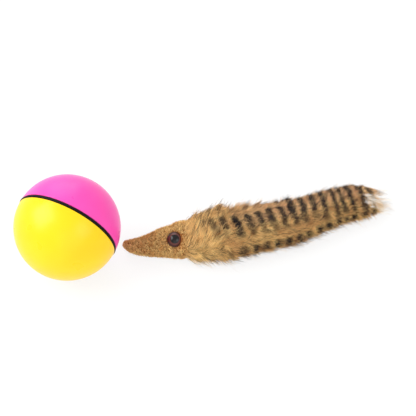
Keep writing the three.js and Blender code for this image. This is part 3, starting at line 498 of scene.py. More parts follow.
def fur_material():
    """Tan fur with dark bars across the back and spots low on the sides, from the places on the hairs."""
    material, tree, shader = node_material("striped_fur")
    along, around, tone, tip = [attribute(tree, name) for name in ("along", "around", "tone", "tip")]
    flat = spread_flat(along, 0.09, around, 0.03)
    dark = bar_darkness(tree, along, around, tone, flat)
    colour = mix_colour(tone, (192, 124, 66), (255, 216, 142))
    patch = map_range(noise(tree, 0.7, 3, flat), 0.42, 0.68, 0, 0.5)
    colour = mix_colour(patch, colour, (206, 150, 96))
    back = map_range(math_node("ABSOLUTE", around), 25, 60, 0.4, 0)
    back = product(back, map_range(along, 75, 115))
    colour = mix_colour(back, colour, (226, 174, 140))
    throat = product(map_range(along, 64, 88, 0.9, 0), map_range(around, 55, 90))
    colour = mix_colour(throat, colour, (255, 220, 150))
    # Darker towards the roots: painted shade deep in the fur, also on the pelt that shows between the hairs
    colour = mix_colour(map_range(tip, 0, 0.5, 0.32, 0), colour, (134, 94, 54))
    stray = map_range(tone, -0.5, -0.1, 1, 0)
    colour = mix_colour(stray, colour, (84, 60, 46))
    dress(shader, mix_colour(dark, colour, (38, 28, 26)), 0.6, 0.3)
    return material


def eye_lens_material():
    """Amber plastic with a dark ring at its rim and a black pupil, worked out from the place on the eye. The
    greyish pink of the inner amber ring is partly a painted reflection.
    """
    material, tree, shader = node_material("eye_lens")
    radius = attribute(tree, "radius")
    # Inner ring: amber brown, partly a painted reflection; outer rim: the amber's own dark colour
    amber_and_painted_reflection = mix_colour(map_range(radius, 0.72, 0.86), (84, 42, 36), (52, 17, 10))
    colour = mix_colour(map_range(radius, 0.54, 0.62), (15, 12, 12), amber_and_painted_reflection)
    dress(shader, colour, 0.2, 0.28)
    return material


MATERIALS = {
    "pink_plastic": moulded_plastic("pink_plastic", (237, 78, 170), (232, 68, 160), 0.3, 0.26),
    "yellow_plastic": moulded_plastic("yellow_plastic", (239, 197, 19), (236, 189, 13), 0.3, 0.26),
    "black_rubber": rubber("black_seal"),
    "white_plastic": moulded_plastic("white_plastic", (236, 233, 224), (226, 222, 212), 0.42),
    "black_plastic": moulded_plastic("black_plastic", (24, 24, 26), (34, 34, 36), 0.45),
    "red_plastic": moulded_plastic("red_plastic", (186, 26, 26), (168, 20, 22), 0.4),
    "steel": bare_metal("steel", (196, 198, 202)),
    "brass": bare_metal("brass", (206, 168, 92)),
    "battery_can": moulded_plastic("battery_wrap", (52, 104, 74), (44, 92, 66), 0.3),
    "amber_eye": eye_lens_material(),
    "backing": backing_material(),
    "pile": pile_material(),
    "fur": fur_material(),
    "black_gloss": moulded_plastic("pupil_plastic", (8, 8, 10), (14, 14, 16), 0.1),
}
SOFT_SLOTS = ("short_plush", "striped_fur")


def finish_nodes():
    for row in frame["record"]["subparts"]:
        slot = row["material_slot"]
        add_material(frame["nodes"][row["node"]], MATERIALS["backing" if slot in SOFT_SLOTS else slot])


def declare(piece, slot, holder, node=None):
    """Hides the solid that a piece takes the place of and hangs the piece on the body that it rides; a piece on a
    bend only gets its place baked in. The slot is not used.
    """
    if node:
        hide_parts(node)
    if isinstance(holder, str):
        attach(piece, holder)
    else:
        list(holder)
        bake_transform(piece)


def turned_piece(name, mesh, matrix, slot, body, node):
    """A turned piece moved to its place, instead of the faceted solid."""
    piece = outward(new_object(name, *mesh))
    piece.data.transform(matrix)
    piece.data.set_sharp_from_angle(angle=CREASE_ANGLE)
    add_material(piece, MATERIALS[slot])
    declare(piece, slot, body, node)
    return piece


# Ball

def shell_mesh(sign):
    """The bowl of one half: round rim at the seam, true wall inside. Sign 1 is the pink half."""
    level = SEAL_WIDTH / 2 + RIM_GAP
    outside = asin(level / BALL_RADIUS)
    inside_radius = BALL_RADIUS - SHELL_WALL
    foot = level if sign > 0 else COLLAR_FOOT + SHELL_WALL / 2
    profile = arc(inside_radius, pi / 2, asin(foot / inside_radius), BALL_STEPS)
    if sign < 0:
        collar_inside = COLLAR_OUTSIDE - COLLAR_WALL
        profile += [(collar_inside, COLLAR_FOOT), (collar_inside, -COLLAR_RISE),
                    (COLLAR_OUTSIDE, -COLLAR_RISE), (COLLAR_OUTSIDE, level)]
    edge = BALL_RADIUS * cos(outside)
    profile += arc(RIM_ROUND, -pi / 2, 0, RIM_STEPS, (edge - RIM_ROUND, level + RIM_ROUND))
    profile += arc(BALL_RADIUS, outside + RIM_ROUND / BALL_RADIUS * RIM_RADII, pi / 2, BALL_STEPS)
    return lathe([(radius, sign * height) for radius, height in profile], BALL_SIDES)


def tube_mesh(inside, outside, low, high, x=0.0, y=0.0):
    vertices, faces = lathe([(inside, low), (outside, low), (outside, high), (inside, high)], TUBE_SIDES)
    return [(vx + x, vy + y, vz) for vx, vy, vz in vertices], faces


def make_ball():
    pink_parts = [shell_mesh(1)]
    yellow_parts = [shell_mesh(-1)]
    middle_radius = BALL_RADIUS - SHELL_WALL / 2
    post_top = sqrt(middle_radius ** 2 - (POST_CIRCLE + POST_RADIUS) ** 2)
    for i in range(LUG_COUNT):
        angle = 2 * pi * i / LUG_COUNT
        pink_parts.append(lug_mesh(*PINK_LUG, angle))
        yellow_parts.append(lug_mesh(*YELLOW_LUG, angle))
        pink_parts.append(tube_mesh(POST_HOLE, POST_RADIUS, POST_LEVEL, post_top,
                                    POST_CIRCLE * cos(angle), POST_CIRCLE * sin(angle)))
    socket_foot = sqrt(middle_radius ** 2 - SOCKET_OUTSIDE ** 2)
    yellow_parts.append(tube_mesh(SOCKET_INSIDE, SOCKET_OUTSIDE, -socket_foot, -SOCKET_LEVEL))
    half = SEAL_WIDTH / 2
    inside = COLLAR_OUTSIDE + SEAL_GAP
    edge = BALL_RADIUS * cos(asin(half / BALL_RADIUS))
    round_edge = arc(half, -pi / 2, pi / 2, SEAL_STEPS, (edge - half * SEAL_INSET, 0))
    seal = lathe([(inside, -half), *round_edge, (inside, half)], BALL_SIDES)
    for name, mesh, slot, body, node in (
            ("pink_half_shell", joined(*pink_parts), "pink_plastic", "pink_half", "pink_shell"),
            ("yellow_half_shell", joined(*yellow_parts), "yellow_plastic", "yellow_half", "yellow_shell"),
            ("seam_seal", seal, "black_rubber", "yellow_half", "seam_ring")):
        turned_piece(name, mesh, ball_matrix(), slot, body, node)


# Animal's surface

def smooth_column(shares, column):
    """Cubic curve through one column of the spine's table, with the same slopes that the solids have."""
    places, values = SPINE_SHARES[:, 0], SPINE_SHARES[:, column]
    last = len(places) - 1
    i = np.clip(np.searchsorted(places, shares), 1, last)

    def at(k):
        k = np.clip(k, 0, last)
        return places[k], values[k]

    (x0, y0), (x1, y1), (x2, y2), (x3, y3) = at(i - 2), at(i - 1), at(i), at(i + 1)
    t = (shares - x1) / (x2 - x1)
    leave = (y2 - y0) / (x2 - x0) * (x2 - x1)
    arrive = (y3 - y1) / (x3 - x1) * (x2 - x1)
    return ((2 * t ** 3 - 3 * t ** 2 + 1) * y1 + (t ** 3 - 2 * t ** 2 + t) * leave
            + (3 * t ** 2 - 2 * t ** 3) * y2 + (t ** 3 - t ** 2) * arrive)


def local_spine(shares):
    return shares * ANIMAL_LENGTH, smooth_column(shares, 1) * ANIMAL_LENGTH


def animal_placement():
    """Turn and shift that carry the animal's own plan to the row frame, from the two bends."""
    near, far = Vector(joints["neck_bend"]["pos_m"]), Vector(joints["tail_bend"]["pos_m"])
    along, side = local_spine(np.array([NECK_SHARE, HIP_SHARE]))
    own = Vector((along[1] - along[0], side[1] - side[0]))
    seen = Vector((far.x - near.x, far.y - near.y))
    turn = atan2(seen.y, seen.x) - atan2(own.y, own.x)
    cosine, sine = cos(turn), sin(turn)
    shift = (near.x - cosine * along[0] + sine * side[0], near.y - sine * along[0] - cosine * side[0])
    return cosine, sine, shift


PLACEMENT = animal_placement()


def smooth(values, low, high):
    """0 below the low value and 1 above the high one, with a soft rise between them."""
    t = np.clip((values - low) / (high - low), 0, 1)
    return t * t * (3 - 2 * t)


def build_lookup():
    """Middle line and sections at close steps, going straight on past the solid end for the brush."""
    shares = np.linspace(0, BRUSH_END, BRUSH_STEPS)
    held = np.minimum(shares, TABLE_END)
    along, side = local_spine(held)
    ahead, ahead_side = local_spine(np.minimum(held + SLOPE_STEP, TABLE_END))
    behind, behind_side = local_spine(np.maximum(held - SLOPE_STEP, 0))
    way = np.arctan2(ahead_side - behind_side, ahead - behind)
    past = (shares - held) * ANIMAL_LENGTH
    along = along + past * np.cos(way)
    side = side + past * np.sin(way)
    width = smooth_column(held, 2) * HALF_WIDTH
    height = smooth_column(held, 3) * HALF_HEIGHT
    lift = np.maximum(0, smooth_column(held, 4)) * HALF_HEIGHT
    chin = CHIN_DEPTH * smooth(held, 0, 0.02) * (1 - smooth(held, 0.04, 0.11))
    level = height - BELLY_CUT + lift - chin / 2
    height = height + chin / 2
    cosine, sine, shift = PLACEMENT
    x = shift[0] + cosine * along - sine * side
    y = shift[1] + sine * along + cosine * side
    return shares, x, y, width, height, level, way + atan2(sine, cosine)


LOOKUP = build_lookup()


def section(shares):
    """Middle of the body in plan, half width, half height, level of the middle, and the way ahead."""
    return [np.interp(shares, LOOKUP[0], row) for row in LOOKUP[1:]]


def surface(shares, angles, inset, brush=False):
    """Points on the animal's surface and the ways out there. The brush keeps the tail wide past its end."""
    x, y, width, height, level, way = section(shares)
    if brush:
        held = section(np.minimum(shares, BRUSH_START))
        settled = np.clip((shares - BRUSH_START) / BRUSH_SETTLE, 0, 1)
        past = shares > BRUSH_START
        width = np.where(past, held[2] * (1 - BRUSH_NARROWER * settled), width)
        height = np.where(past, held[3] * (1 - BRUSH_LOWER * settled), height)
        level = np.where(past, held[4] * (1 - BRUSH_LOWER * settled), level)
    width = np.maximum(width - inset, LEAST_RADIUS)
    height = np.maximum(height - inset, LEAST_RADIUS)
    sideways, up = np.cos(angles), np.sin(angles)
    points = np.stack([x - np.sin(way) * width * sideways, y + np.cos(way) * width * sideways,
                       level + height * up], axis=-1)
    across, rise = sideways / width, up / height
    size = np.hypot(across, rise)
    across, rise = across / size, rise / size
    normals = np.stack([-np.sin(way) * across, np.cos(way) * across, rise], axis=-1)
    return points, normals


def depth(shares):
    """How far the backing lies below the surface: little under the short pile, more under the long fur."""
    return PILE_DEPTH + (FUR_DEPTH - PILE_DEPTH) * smooth(shares, 0.212, 0.262)


def backing(name, start, end, inset, spacing, finish, round_front=False, round_back=False):
    """A closed length of the animal's body between two shares of its length."""
    sides = BACKING_SIDES
    rings = max(4, int((end - start) * ANIMAL_LENGTH / spacing))
    shares = np.linspace(start, end, rings + 1)
    angles = np.linspace(0, 2 * pi, sides, endpoint=False)
    grid_shares, grid_angles = np.meshgrid(shares, angles, indexing="ij")
    points, _ = surface(grid_shares, grid_angles, depth(grid_shares) + inset)
    middle = points.mean(axis=1, keepdims=True)
    for wanted, index in ((round_front, 0), (round_back, -1)):
        if wanted:
            points[index] = middle[index] + (points[index] - middle[index]) * END_SHRINK
    points[..., 2] = np.maximum(points[..., 2], FLOOR_GAP)
    vertices = [*points.reshape(-1, 3), points[0].mean(axis=0), points[rings].mean(axis=0)]
    front_middle, back_middle = len(vertices) - 2, len(vertices) - 1
    faces = []
    for i in range(rings):
        for k in range(sides):
            n = (k + 1) % sides
            faces.append((i * sides + k, i * sides + n, (i + 1) * sides + n, (i + 1) * sides + k))
    faces += [(front_middle, (k + 1) % sides, k) for k in range(sides)]
    faces += [(back_middle, rings * sides + k, rings * sides + (k + 1) % sides) for k in range(sides)]
    obj = outward(new_object(name, vertices, faces))
    add_material(obj, MATERIALS[finish])
    store_places(obj, np.append(grid_shares.ravel(), (start, end)) * ANIMAL_LENGTH / MM,
                 np.append(back_angle(grid_angles.ravel()), (0, 0)),
                 np.full(len(vertices), BACKING_TONE), np.full(len(vertices), BACKING_TIP))
    return obj


def back_angle(angles):
    """Degrees from the animal's back, from -180 to 180."""
    turned = np.degrees(angles - BACK)
    return (turned + 180) % 360 - 180


def bar_phase(along, around):
    """Counts the dark bars along the body: a whole number and a half in the middle of each."""
    lean = np.interp(along, *BAR_LEANS)
    moved = along - lean * (np.clip(around, -60, 60) - BAR_LEVEL)
    return np.interp(moved, BAR_PLACES, np.arange(len(BAR_PLACES)) + 0.5)


def barred(along, around, phase):
    """How dark the bars are there: full across the back, weak below it, and in spots low on the sides."""
    side = np.abs(around)
    top = np.where(around < 0, np.interp(along, *BAR_FAR_TOPS), np.interp(along, *BAR_TOPS))
    foot = np.interp(along, *BAR_FEET)
    below_top = smooth(side, top - 6, top + 4)
    full = 1 - smooth(side, foot - 4, foot + 8)
    bar = phase.astype(int) % len(BAR_TAILS)
    weak = 1.15 * BAR_TAILS[bar] * (1 - smooth(side, foot + 12, foot + BAR_ENDS[bar]))
    low = smooth(side, 95, 104) * (1 - smooth(side, 120, 131)) * smooth(along, 76, 98)
    bars = np.maximum(below_top * np.maximum(full, weak), low)
    return bars * smooth(along, 62, 70) * np.interp(along, *BAR_DARKNESS)


def store_places(obj, along, around, tone, tip):
    """Stores the places that the fur's colour is worked out from."""
    phase = bar_phase(along, around)
    for name, values in (("along", along), ("around", around), ("tone", tone), ("tip", tip),
                         ("phase", phase), ("barred", barred(along, around, phase))):
        store(obj, name, values)


def store(obj, name, values):
    layer = obj.data.attributes.new(name, "FLOAT", "POINT")
    layer.data.foreach_set("value", np.asarray(values, np.float32))


# Hair

def hair_mesh(name, finish, paths, widths, along, around, tone):
    """Closed, three-sided, tapered hairs. Paths is hairs by points by 3, widths is hairs by points."""
    count, steps = paths.shape[:2]
    ways = np.gradient(paths, axis=1)
    ways /= np.linalg.norm(ways, axis=2, keepdims=True) + 1e-12
    side = np.cross(ways, HAIR_UP)
    side /= np.linalg.norm(side, axis=2, keepdims=True) + 1e-12
    lift = np.cross(side, ways)
    rings = []
    for k in range(3):
        angle = 2 * pi * k / 3
        rings.append(paths[:, :-1] + widths[:, :-1, None] / 2 * (
            cos(angle) * side[:, :-1] + sin(angle) * lift[:, :-1]))
    body = np.stack(rings, axis=2)
    per_hair = (steps - 1) * 3 + 1
    vertices = np.concatenate([body.reshape(count, -1, 3), paths[:, -1:, :]], axis=1)
    vertices[..., 2] = np.maximum(vertices[..., 2], FLOOR_GAP)
    faces = [(0, 2, 1)]
    for i in range(steps - 2):
        for k in range(3):
            n = (k + 1) % 3
            faces.append((3 * i + k, 3 * i + n, 3 * i + 3 + n, 3 * i + 3 + k))
    last = 3 * (steps - 2)
    faces += [(last + k, last + (k + 1) % 3, per_hair - 1) for k in range(3)]
    sizes = np.tile([len(f) for f in faces], count)
    corners = np.concatenate([np.array(f) for f in faces])
    loops = (corners[None, :] + per_hair * np.arange(count)[:, None]).ravel()
    mesh = bpy.data.meshes.new(name)
    mesh.vertices.add(count * per_hair)
    mesh.vertices.foreach_set("co", vertices.astype(np.float32).ravel())
    mesh.loops.add(len(loops))
    mesh.loops.foreach_set("vertex_index", loops.astype(np.int32))
    mesh.polygons.add(len(sizes))
    mesh.polygons.foreach_set("loop_start", np.concatenate([[0], np.cumsum(sizes)[:-1]]).astype(np.int32))
    mesh.update(calc_edges=True)
    mesh.validate()
    mesh.shade_smooth()
    obj = add_material(add_to_scene(name, mesh), MATERIALS[finish])
    tones = np.repeat(tone[:, None], steps, axis=1)
    tips = np.repeat(np.linspace(0, 1, steps)[None, :], count, axis=0)
    store_places(obj, *[
        np.concatenate([np.repeat(values[:, :-1], 3, axis=1), values[:, -1:]], axis=1).ravel()
        for values in (along, around, tones, tips)])
    bake_map(obj, count, loops, per_hair, steps)
    return obj


def bake_map(obj, count, loops, per_hair, steps):
    """A square of the baked picture for each hair, with its root at the bottom."""
    columns = ceil(sqrt(count))
    hair = loops // per_hair
    own = loops % per_hair
    level = np.minimum(own // 3, steps - 1) / (steps - 1)
    across = np.where(own == per_hair - 1, 1, own % 3) / 2
    u = (hair % columns + 0.2 + 0.6 * across) / columns
    v = (hair // columns + 0.1 + 0.8 * level) / columns
    layer = obj.data.uv_layers.new(name="OFBake")
    layer.data.foreach_set("uv", np.stack([u, v], axis=1).astype(np.float32).ravel())


def locks(shares, angles, size, spread, seed):
    """The lock of each hair: its middle, how far from it the hair is, and numbers that its hairs share."""
    row = np.floor(shares * ANIMAL_LENGTH / size)
    stagger = 0.5 * (row % 2)
    column = np.floor(angles / spread + stagger)
    own = np.random.default_rng(seed).normal(size=(4096, 5))[((row * 131 + column * 17) % 4096).astype(int)]
    middle_share = (row + 0.5 + 0.3 * own[:, 3]) * size / ANIMAL_LENGTH
    middle_angle = (column + 0.5 - stagger + 0.25 * own[:, 4]) * spread
    return middle_share, middle_angle, np.abs((angles - middle_angle) / (spread / 2)), own


def strands(shares, angles):
    """Numbers shared by the few hairs of each strand inside a lock."""
    row = np.floor(shares * ANIMAL_LENGTH / STRAND_LENGTH)
    column = np.floor(angles / STRAND_WIDTH + 0.37 * (row % 3))
    chosen = ((row * 197 + column * 29) % 8192).astype(int)
    return np.random.default_rng(STRAND_SEED).normal(size=(8192, 4))[chosen]


def hill(seen, places, angle, spread, middle, reach):
    """1 at one spot on the animal and less and less round it."""
    return np.exp(-((seen - angle) / spread) ** 2 - ((places - middle) / reach) ** 2)


def follow(taper, at):
    """Hairs from root to tip: their points, millimetres from the nose and degrees from the back."""
    last = len(taper) - 1
    points, shares, angles = zip(*[at(i / last) for i in range(last + 1)])
    along = np.stack(shares, axis=1) * ANIMAL_LENGTH / MM
    return np.stack(points, axis=1), along, back_angle(np.stack(angles, axis=1))


def fur_roots(count, start, end):
    """Random places for hairs: fewer on thin lengths and below the body, none close to a tuft's end."""
    shares = rng.uniform(start, end, count)
    keep = rng.uniform(0, HALF_WIDTH, count) < section(shares)[2] + 2 * MM
    keep &= shares > FUR_START + 0.03 * rng.uniform(size=count) ** 0.7
    angles = rng.uniform(0, 2 * pi, count)
    belly = np.sin(angles) < -0.86
    angles = np.where(belly & (rng.uniform(size=count) < 0.7), angles + pi / 2, angles) % (2 * pi)
    keep &= (np.interp(back_angle(angles), *END_TUFTS) - shares) * ANIMAL_LENGTH > FUR_LENGTHS[0]
    return shares[keep][:MOST_HAIRS], angles[keep][:MOST_HAIRS]


def fur_rise(shares, seen, collar, own, fine):
    """How far the hairs stand off the body: tall at the nape and the collar, flat at the tail's end."""
    rise = 0.8 + 0.28 * own[:, 0] + 0.16 * fine[:, 1] + 0.12 * rng.normal(size=len(shares))
    rise = FUR_DEPTH * rise * (1 + 0.35 * collar)
    tail_back = np.exp(-((shares - 0.92) / 0.04) ** 2) * smooth(seen, -120, -80)
    tail_back *= 1 - smooth(seen, -10, 20)
    flat = (1 - 0.35 * tail_back) * (1 - 0.35 * smooth(shares, 0.92, 0.98))
    nape, back, belly = [hill(seen, shares, *spot) for spot in (NAPE, MIDDLE_BACK, MIDDLE_BELLY)]
    return rise * (1 + 1.5 * nape + 0.7 * back - 0.35 * belly) * flat


def fur_tone(shares, seen, comb, away, own, fine):
    """How light the hairs are: lighter in front, at the throat, low behind the hip and at the tail's end."""
    # Hairs at the sides of a lock are a little darker: painted shade between the locks
    tone = 0.74 + 0.36 * rng.normal(size=len(shares)) + 0.1 * own[:, 2] + 0.4 * fine[:, 0] - 0.05 * away ** 2
    tone += 0.24 * np.clip((0.62 - shares) / 0.36, -0.8, 1) + 0.3 * comb - 0.35 * hill(seen, shares, *NAPE)
    throat = 0.3 * smooth(seen, 60, 95) - 0.12 * (1 - smooth(seen, 30, 70))
    tone += throat * (1 - smooth(shares, 0.28, 0.34))
    tone += 0.3 * smooth(shares, 0.92, 0.96)
    tone += 0.24 * smooth(shares, 0.64, 0.72) * smooth(seen, 25, 55)
    place = shares * ANIMAL_LENGTH / MM
    dash = sum(hill(seen, place, *spot) for spot in NAPE_DASHES)
    # Painted shade in a parting of the fur at the collar, and dark dashes at the nape
    tone -= 0.5 * hill(seen, place, *COLLAR_PARTING_SHADE) + dash
    return np.clip(tone, np.where(dash > 0.5, DARK_TONE, 0), 1)


def odd_tones(tone, shares, seen, fine, fly, guard):
    """Gives single hairs and strands a dark or a light tone, less often a dark one at the throat."""
    odd = rng.uniform(size=len(tone))
    throat = (seen > 50) & (shares < 0.33)
    dark_hair = (fly & (odd < np.where(throat, 0.42, 0.6))) | (odd < 0.03)
    dark_strand = (fine[:, 1] > 1.5) & (odd < np.where(throat, 0.35, 0.7))
    tone = np.where(dark_hair | dark_strand, DARK_TONE, tone)
    tone = np.where(odd > 0.95, LIGHT_TONE, tone)
    if guard:
        light = np.where(odd > 0.88, LIGHT_TONE, np.maximum(tone, 0.45))
        tone = np.where(odd < np.where(throat, 0.13, 0.2), DARK_TONE, light)
    return tone


def fur_hairs(count, start, end, thickness=1, lift=1):
    """Long hairs combed towards the tail, gathered in locks, following the body's shape."""
    shares, angles = fur_roots(count, start, end)
    count = len(shares)
    seen = back_angle(angles)
    middle_share, middle_angle, away, own = locks(shares, angles, *FUR_LOCKS)
    fine = strands(shares, angles)
    rear = np.clip((shares - 0.82) / 0.18, 0, 1)
    collar = np.clip((0.28 - shares) / 0.05, 0, 1)
    comb = np.clip((0.4 - shares) / 0.13, 0, 1) * (1 - smooth(seen, 85, 120)) * smooth(seen, -25, 20)
    length = (FUR_MILLIMETRES + own[:, 2] + 1.5 * rng.normal(size=count)) * MM * (1 - 0.1 * collar)
    reach = np.interp(seen, *END_TUFTS) + 0.006 * own[:, 1] + 0.01 * fine[:, 2]
    reach += 0.006 * rng.normal(size=count)
    length = np.clip(np.minimum(length, (reach - shares) * ANIMAL_LENGTH / 0.82), *FUR_LENGTHS)
    rise = np.clip(fur_rise(shares, seen, collar, own, fine) * lift, *FUR_RISES)
    pull = 0.45 * rng.uniform(0.4, 1.2, count)
    drift = 0.1 * own[:, 1] + 0.16 * fine[:, 2] + 0.13 * rng.normal(size=count)
    drift = drift * (1 - 0.4 * comb) - 0.5 * comb
    fly = rng.uniform(size=count) < 0.1 + 0.08 * smooth(np.abs(seen), 90, 108)
    rise = np.where(fly, rise * np.where(np.abs(seen) < 90, 1.5, 1.75), rise)
    length = np.where(fly & (shares < 0.9), length * 1.35, length)

    def at(t):
        gather = pull * t ** 1.4
        here = shares + length * t * (1 - 0.18 * t) * (1 - 0.4 * comb) / ANIMAL_LENGTH
        here += 0.4 * gather * (middle_share - shares)
        turn = angles + gather * (middle_angle - angles) + drift * t ** 1.3
        points, normals = surface(here, turn, depth(here), brush=True)
        height = rise * (1 - (1 - t) ** 1.7) - ROOT_DEPTH * (1 - t)
        points = points + normals * height[:, None]
        points[:, 2] -= FUR_DROOP * t * t * (1 + rear * 2)
        return points, here, turn

    paths, along, around = follow(FUR_TAPER, at)
    jitter = 0.7 * rng.normal(size=count) + 0.2 * own[:, 2] + 0.6 * fine[:, 3]
    base = FUR_WIDTH * thickness * rng.uniform(0.6, 1.3, count) * np.where(fly, 0.7, 1)
    tone = fur_tone(shares, seen, comb, away, own, fine)
    tone = odd_tones(tone, shares, seen, fine, fly, thickness < 1)
    return paths, base[:, None] * FUR_TAPER, along + jitter[:, None], around, tone


def wisp_hairs(count):
    """Loose long hairs that leave the tail's end in a few thin, spreading locks."""
    shares = rng.uniform(0.93, 1.0, count)
    lock = rng.integers(0, WISP_LOCKS, count)
    lock_rng = np.random.default_rng(WISP_SEED)
    lock_angle = np.linspace(0.1, pi * 1.3, WISP_LOCKS) + 0.1 * lock_rng.normal(size=WISP_LOCKS)
    lock_spread = lock_rng.normal(size=WISP_LOCKS)
    lock_reach = lock_rng.uniform(0.1, 1.0, WISP_LOCKS) ** 1.3
    angles = lock_angle[lock] + 0.12 * rng.normal(size=count)
    loose = rng.uniform(size=count) < 0.35
    reach = (1.0 + 0.104 * lock_reach[lock] * rng.uniform(0.6, 1.0, count)) * ANIMAL_LENGTH
    length = reach - shares * ANIMAL_LENGTH
    own_turn = rng.normal(size=count)
    own_fan = rng.normal(size=count)

    def at(t):
        here = shares + length * t / ANIMAL_LENGTH
        turn = angles + 0.1 * t * own_turn
        points, normals = surface(here, turn, depth(here), brush=True)
        way = section(here)[5]
        fan = (1.4 + lock_spread[lock] * 3.8 + np.where(loose, 5.0, 0.5) * own_fan) * MM * t * t
        points[:, 0] -= np.sin(way) * fan
        points[:, 1] += np.cos(way) * fan
        points = points + normals * (1.4 * MM * sin(pi * t))
        points[:, 2] = np.maximum(points[:, 2] * (1 - 0.12 * t * t), FLOOR_GAP * 2)
        return points, here, turn

    paths, along, around = follow(WISP_TAPER, at)
    widths = WISP_WIDTH * rng.uniform(0.6, 1.5, count)[:, None] * WISP_TAPER
    odd = rng.uniform(size=count)
    tone = np.where(odd < 0.22, DARK_TONE, np.where(odd < 0.55, 0.9, LIGHT_TONE))
    return paths, widths, along + 0.8 * rng.normal(size=count)[:, None], around, tone


def pile_hairs(count, start, end):
    """Short curly pile on the snout, leaning back in small clumps."""
    shares = rng.uniform(start, end, count)
    shares = shares[rng.uniform(0, 12 * MM, count) < section(shares)[2] + 2 * MM][:MOST_HAIRS]
    count = len(shares)
    angles = rng.uniform(0, 2 * pi, count)
    middle_share, middle_angle, away, own = locks(shares, angles, *PILE_LOCKS)
    length = PILE_LENGTH * (rng.uniform(0.7, 1.15, count) + 0.12 * own[:, 0])
    length = length * np.clip(0.7 + shares / 0.2, 0.7, 1)
    lean = np.clip(rng.uniform(0.2, 0.9, count) + 0.12 * own[:, 1], 0.1, 0.95)
    drift = 0.35 * own[:, 2] + 0.6 * rng.normal(size=count)
    curl = rng.uniform(0, 2 * pi, count)

    def at(t):
        gather = 0.25 * t ** 1.3
        here = shares + length * lean * t / ANIMAL_LENGTH + gather * (middle_share - shares)
        radius = np.maximum(section(here)[2], 3 * MM)
        wave = 0.3 * MM * t * np.sin(curl + 4.5 * t)
        turn = angles + (drift * length * t + wave) / radius + gather * (middle_angle - angles)
        points, normals = surface(here, turn, depth(here))
        height = length * np.sqrt(1 - (lean * 0.9) ** 2) * t - 0.15 * MM * (1 - t)
        return points + normals * height[:, None], here, turn

    paths, along, around = follow(PILE_TAPER, at)
    widths = PILE_WIDTH * rng.uniform(0.8, 1.2, count)[:, None] * PILE_TAPER
    place = 0.9 * (1 - smooth(shares, 0.03, 0.09))
    place = place - 0.3 * smooth(shares, 0.05, 0.1) * (1 - smooth(shares, 0.13, 0.18))
    place += 0.16 * smooth(shares, 0.12, 0.19)
    clump = (0.42 - 0.28 * smooth(shares, 0.04, 0.1)) * own[:, 0]
    # Hairs at the sides of a clump are a little darker: painted shade between the clumps
    tone = 0.74 + 0.42 * rng.normal(size=count) + clump - 0.08 * away ** 2 + place
    return paths, widths, along, around, np.clip(tone, 0, 1)


def clear_of_eyes(hairs, gap):
    """Drops the hairs that would stand in front of an eye."""
    paths = hairs[0]
    keep = np.ones(len(paths), bool)
    for name in ("near_eye_lens", "far_eye_lens"):
        low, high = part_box(name)
        distance = np.linalg.norm(paths - np.array((low + high) / 2), axis=2).min(axis=1)
        keep &= distance > EYE_RADIUS + gap
    return [part[keep] for part in hairs]


def point_at(share):
    x, y, _, _, level, _ = section(share)
    return float(x), float(y), float(level)


def blend_span(share, reach):
    """Where a bend of the body starts and ends."""
    return point_at(share - reach), point_at(share + reach)


def make_animal():
    quick_share = 1
    head = backing("head_plush", 0.0, HEAD_BACK, 0, HEAD_SPACING, "backing", round_front=True)
    declare(head, "short_plush", "head", "animal_head")
    for name, count, start, end in PILE_PIECES:
        hairs = clear_of_eyes(pile_hairs(int(count * quick_share), start, end), PILE_EYE_GAP)
        declare(hair_mesh(name, "pile", *hairs), "short_plush", "head")

    bends = {
        "neck": ("head", "body", *blend_span(NECK_SHARE, NECK_REACH)),
        "hip": ("body", "tail", *blend_span(HIP_SHARE, HIP_REACH))}
    front = backing("pelt_front", PELT_START, HALF_SHARE + PELT_OVERLAP, PELT_INSET, PELT_SPACING, "fur")
    rear = backing("pelt_rear", HALF_SHARE - PELT_OVERLAP, PELT_END, 0, PELT_SPACING, "fur", round_back=True)
    for pelt, bend, node in ((front, "neck", "animal_body"), (rear, "hip", "animal_tail")):
        declare(pelt, "striped_fur", bends[bend], node)
    for name, count, start, end, bend, *look in FUR_PIECES:
        hairs = clear_of_eyes(fur_hairs(int(count * quick_share), start, end, *look), FUR_EYE_GAP)
        declare(hair_mesh(name, "fur", *hairs), "striped_fur", bends[bend])
    declare(hair_mesh("tail_wisps", "fur", *wisp_hairs(WISP_COUNT)), "striped_fur", bends["hip"])


# Eyes

def make_eyes():
    """A fine lens in place of each faceted one, on the same axis and with the same sizes."""
    inner = Vector(point_at(EYE_SHARE))
    for side in ("near", "far"):
        node = frame["nodes"][f"{side}_eye_lens"]
        points = np.array([v.co for v in node.data.vertices], float)
        centre = points.mean(axis=0)
        _, _, axes = np.linalg.svd(points - centre)
        axis = Vector(axes[2]).normalized()
        if (Vector(centre) - inner).dot(axis) < 0:
            axis.negate()
        levels = (points - centre) @ np.array(axis)
        flat = points - centre - levels[:, None] * np.array(axis)
        radius = np.linalg.norm(flat, axis=1).max()
        base, top = levels.min(), levels.max()
        rise = top - (base + EYE_RIM)
        sphere = (radius ** 2 + rise ** 2) / (2 * rise)
        start = asin((sphere - rise) / sphere)
        profile = [(0.0, base), (radius - EYE_EDGE, base), (radius, base + EYE_EDGE)]
        profile += arc(sphere, start, pi / 2, EYE_STEPS, (0, top - sphere))
        mesh = lathe(profile, EYE_SIDES)
        place = Matrix.Translation(Vector(centre)) @ axis.to_track_quat("Z", "Y").to_matrix().to_4x4()
        lens = turned_piece(f"{side}_eye", mesh, place, "amber_eye", "head", f"{side}_eye_lens")
        store(lens, "radius", [hypot(x, y) / radius for x, y, _ in mesh[0]])


# Stage, light and camera

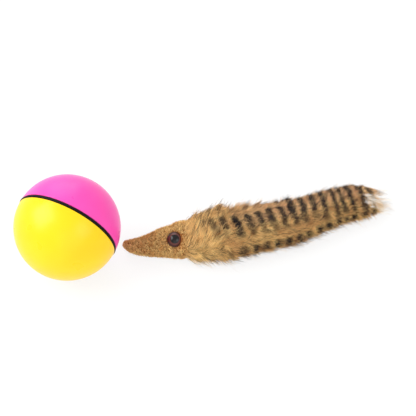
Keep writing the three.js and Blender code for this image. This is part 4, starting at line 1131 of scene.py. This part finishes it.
def looking_rays(tree):
    """One for the rays that come from the camera, also by way of a glossy or clear surface."""
    rays = tree.nodes.new("ShaderNodeLightPath")
    looking = rays.outputs["Is Camera Ray"]
    for name in ("Is Glossy Ray", "Is Transmission Ray"):
        looking = math_node("MAXIMUM", looking, rays.outputs[name])
    return looking


def mix_shaders(share, first, second, end):
    """Shows the second shader by its share, and the first one for the rest."""
    mixed = new_node(share.id_data, "ShaderNodeMixShader", {"Fac": share, 1: first, 2: second}, "Shader")
    fill(share.id_data.nodes[end], {"Surface": mixed})


def make_floor():
    """A matt floor that looks almost as white as the background but still takes shadows."""
    bpy.ops.mesh.primitive_plane_add(size=FLOOR_SIZE, location=(0, 0, 0))
    floor = bpy.context.object
    floor.name = "floor"
    material, tree, shader = node_material("floor")
    dress(shader, (0.93, 0.93, 0.92, 1), 0.9, 0.1)
    mix_shaders(product(looking_rays(tree), FLOOR_WHITE), shader.outputs["BSDF"],
                new_node(tree, "ShaderNodeEmission", WHITE, "Emission"), "Material Output")
    add_material(floor, material)


def make_world():
    """A white background to look at, and a little less light from it."""
    world = bpy.data.worlds.new("studio")
    bpy.context.scene.world = world
    world.use_nodes = True
    tree = world.node_tree
    background = tree.nodes["Background"]
    fill(background, {**WHITE, "Strength": WORLD_LIGHT})
    mix_shaders(looking_rays(tree), background.outputs["Background"],
                new_node(tree, "ShaderNodeBackground", WHITE, "Background"), "World Output")


def make_lamps():
    for name, place, size, power in LAMPS:
        lamp = bpy.data.lights.new(name, "AREA")
        lamp.energy = power
        lamp.size = size
        way = LAMP_TARGET - Vector(place)
        add_to_scene(name, lamp, place, way.to_track_quat("-Z", "Y").to_euler())


def make_camera():
    camera = bpy.data.cameras.new("camera")
    camera.sensor_width = SENSOR_WIDTH
    camera.sensor_fit = "HORIZONTAL"
    camera.lens = SENSOR_WIDTH / 2 / tan(CAMERA_HALF_ANGLE)
    turn = (pi / 2 - CAMERA_ELEVATION, 0, 0)
    bpy.context.scene.camera = add_to_scene("camera", camera, CAMERA_PLACE, turn)
    bpy.context.scene.view_settings.view_transform = "Standard"


make_camera()
finish_nodes()
make_ball()
make_eyes()
make_animal()
make_floor()
make_world()
make_lamps()
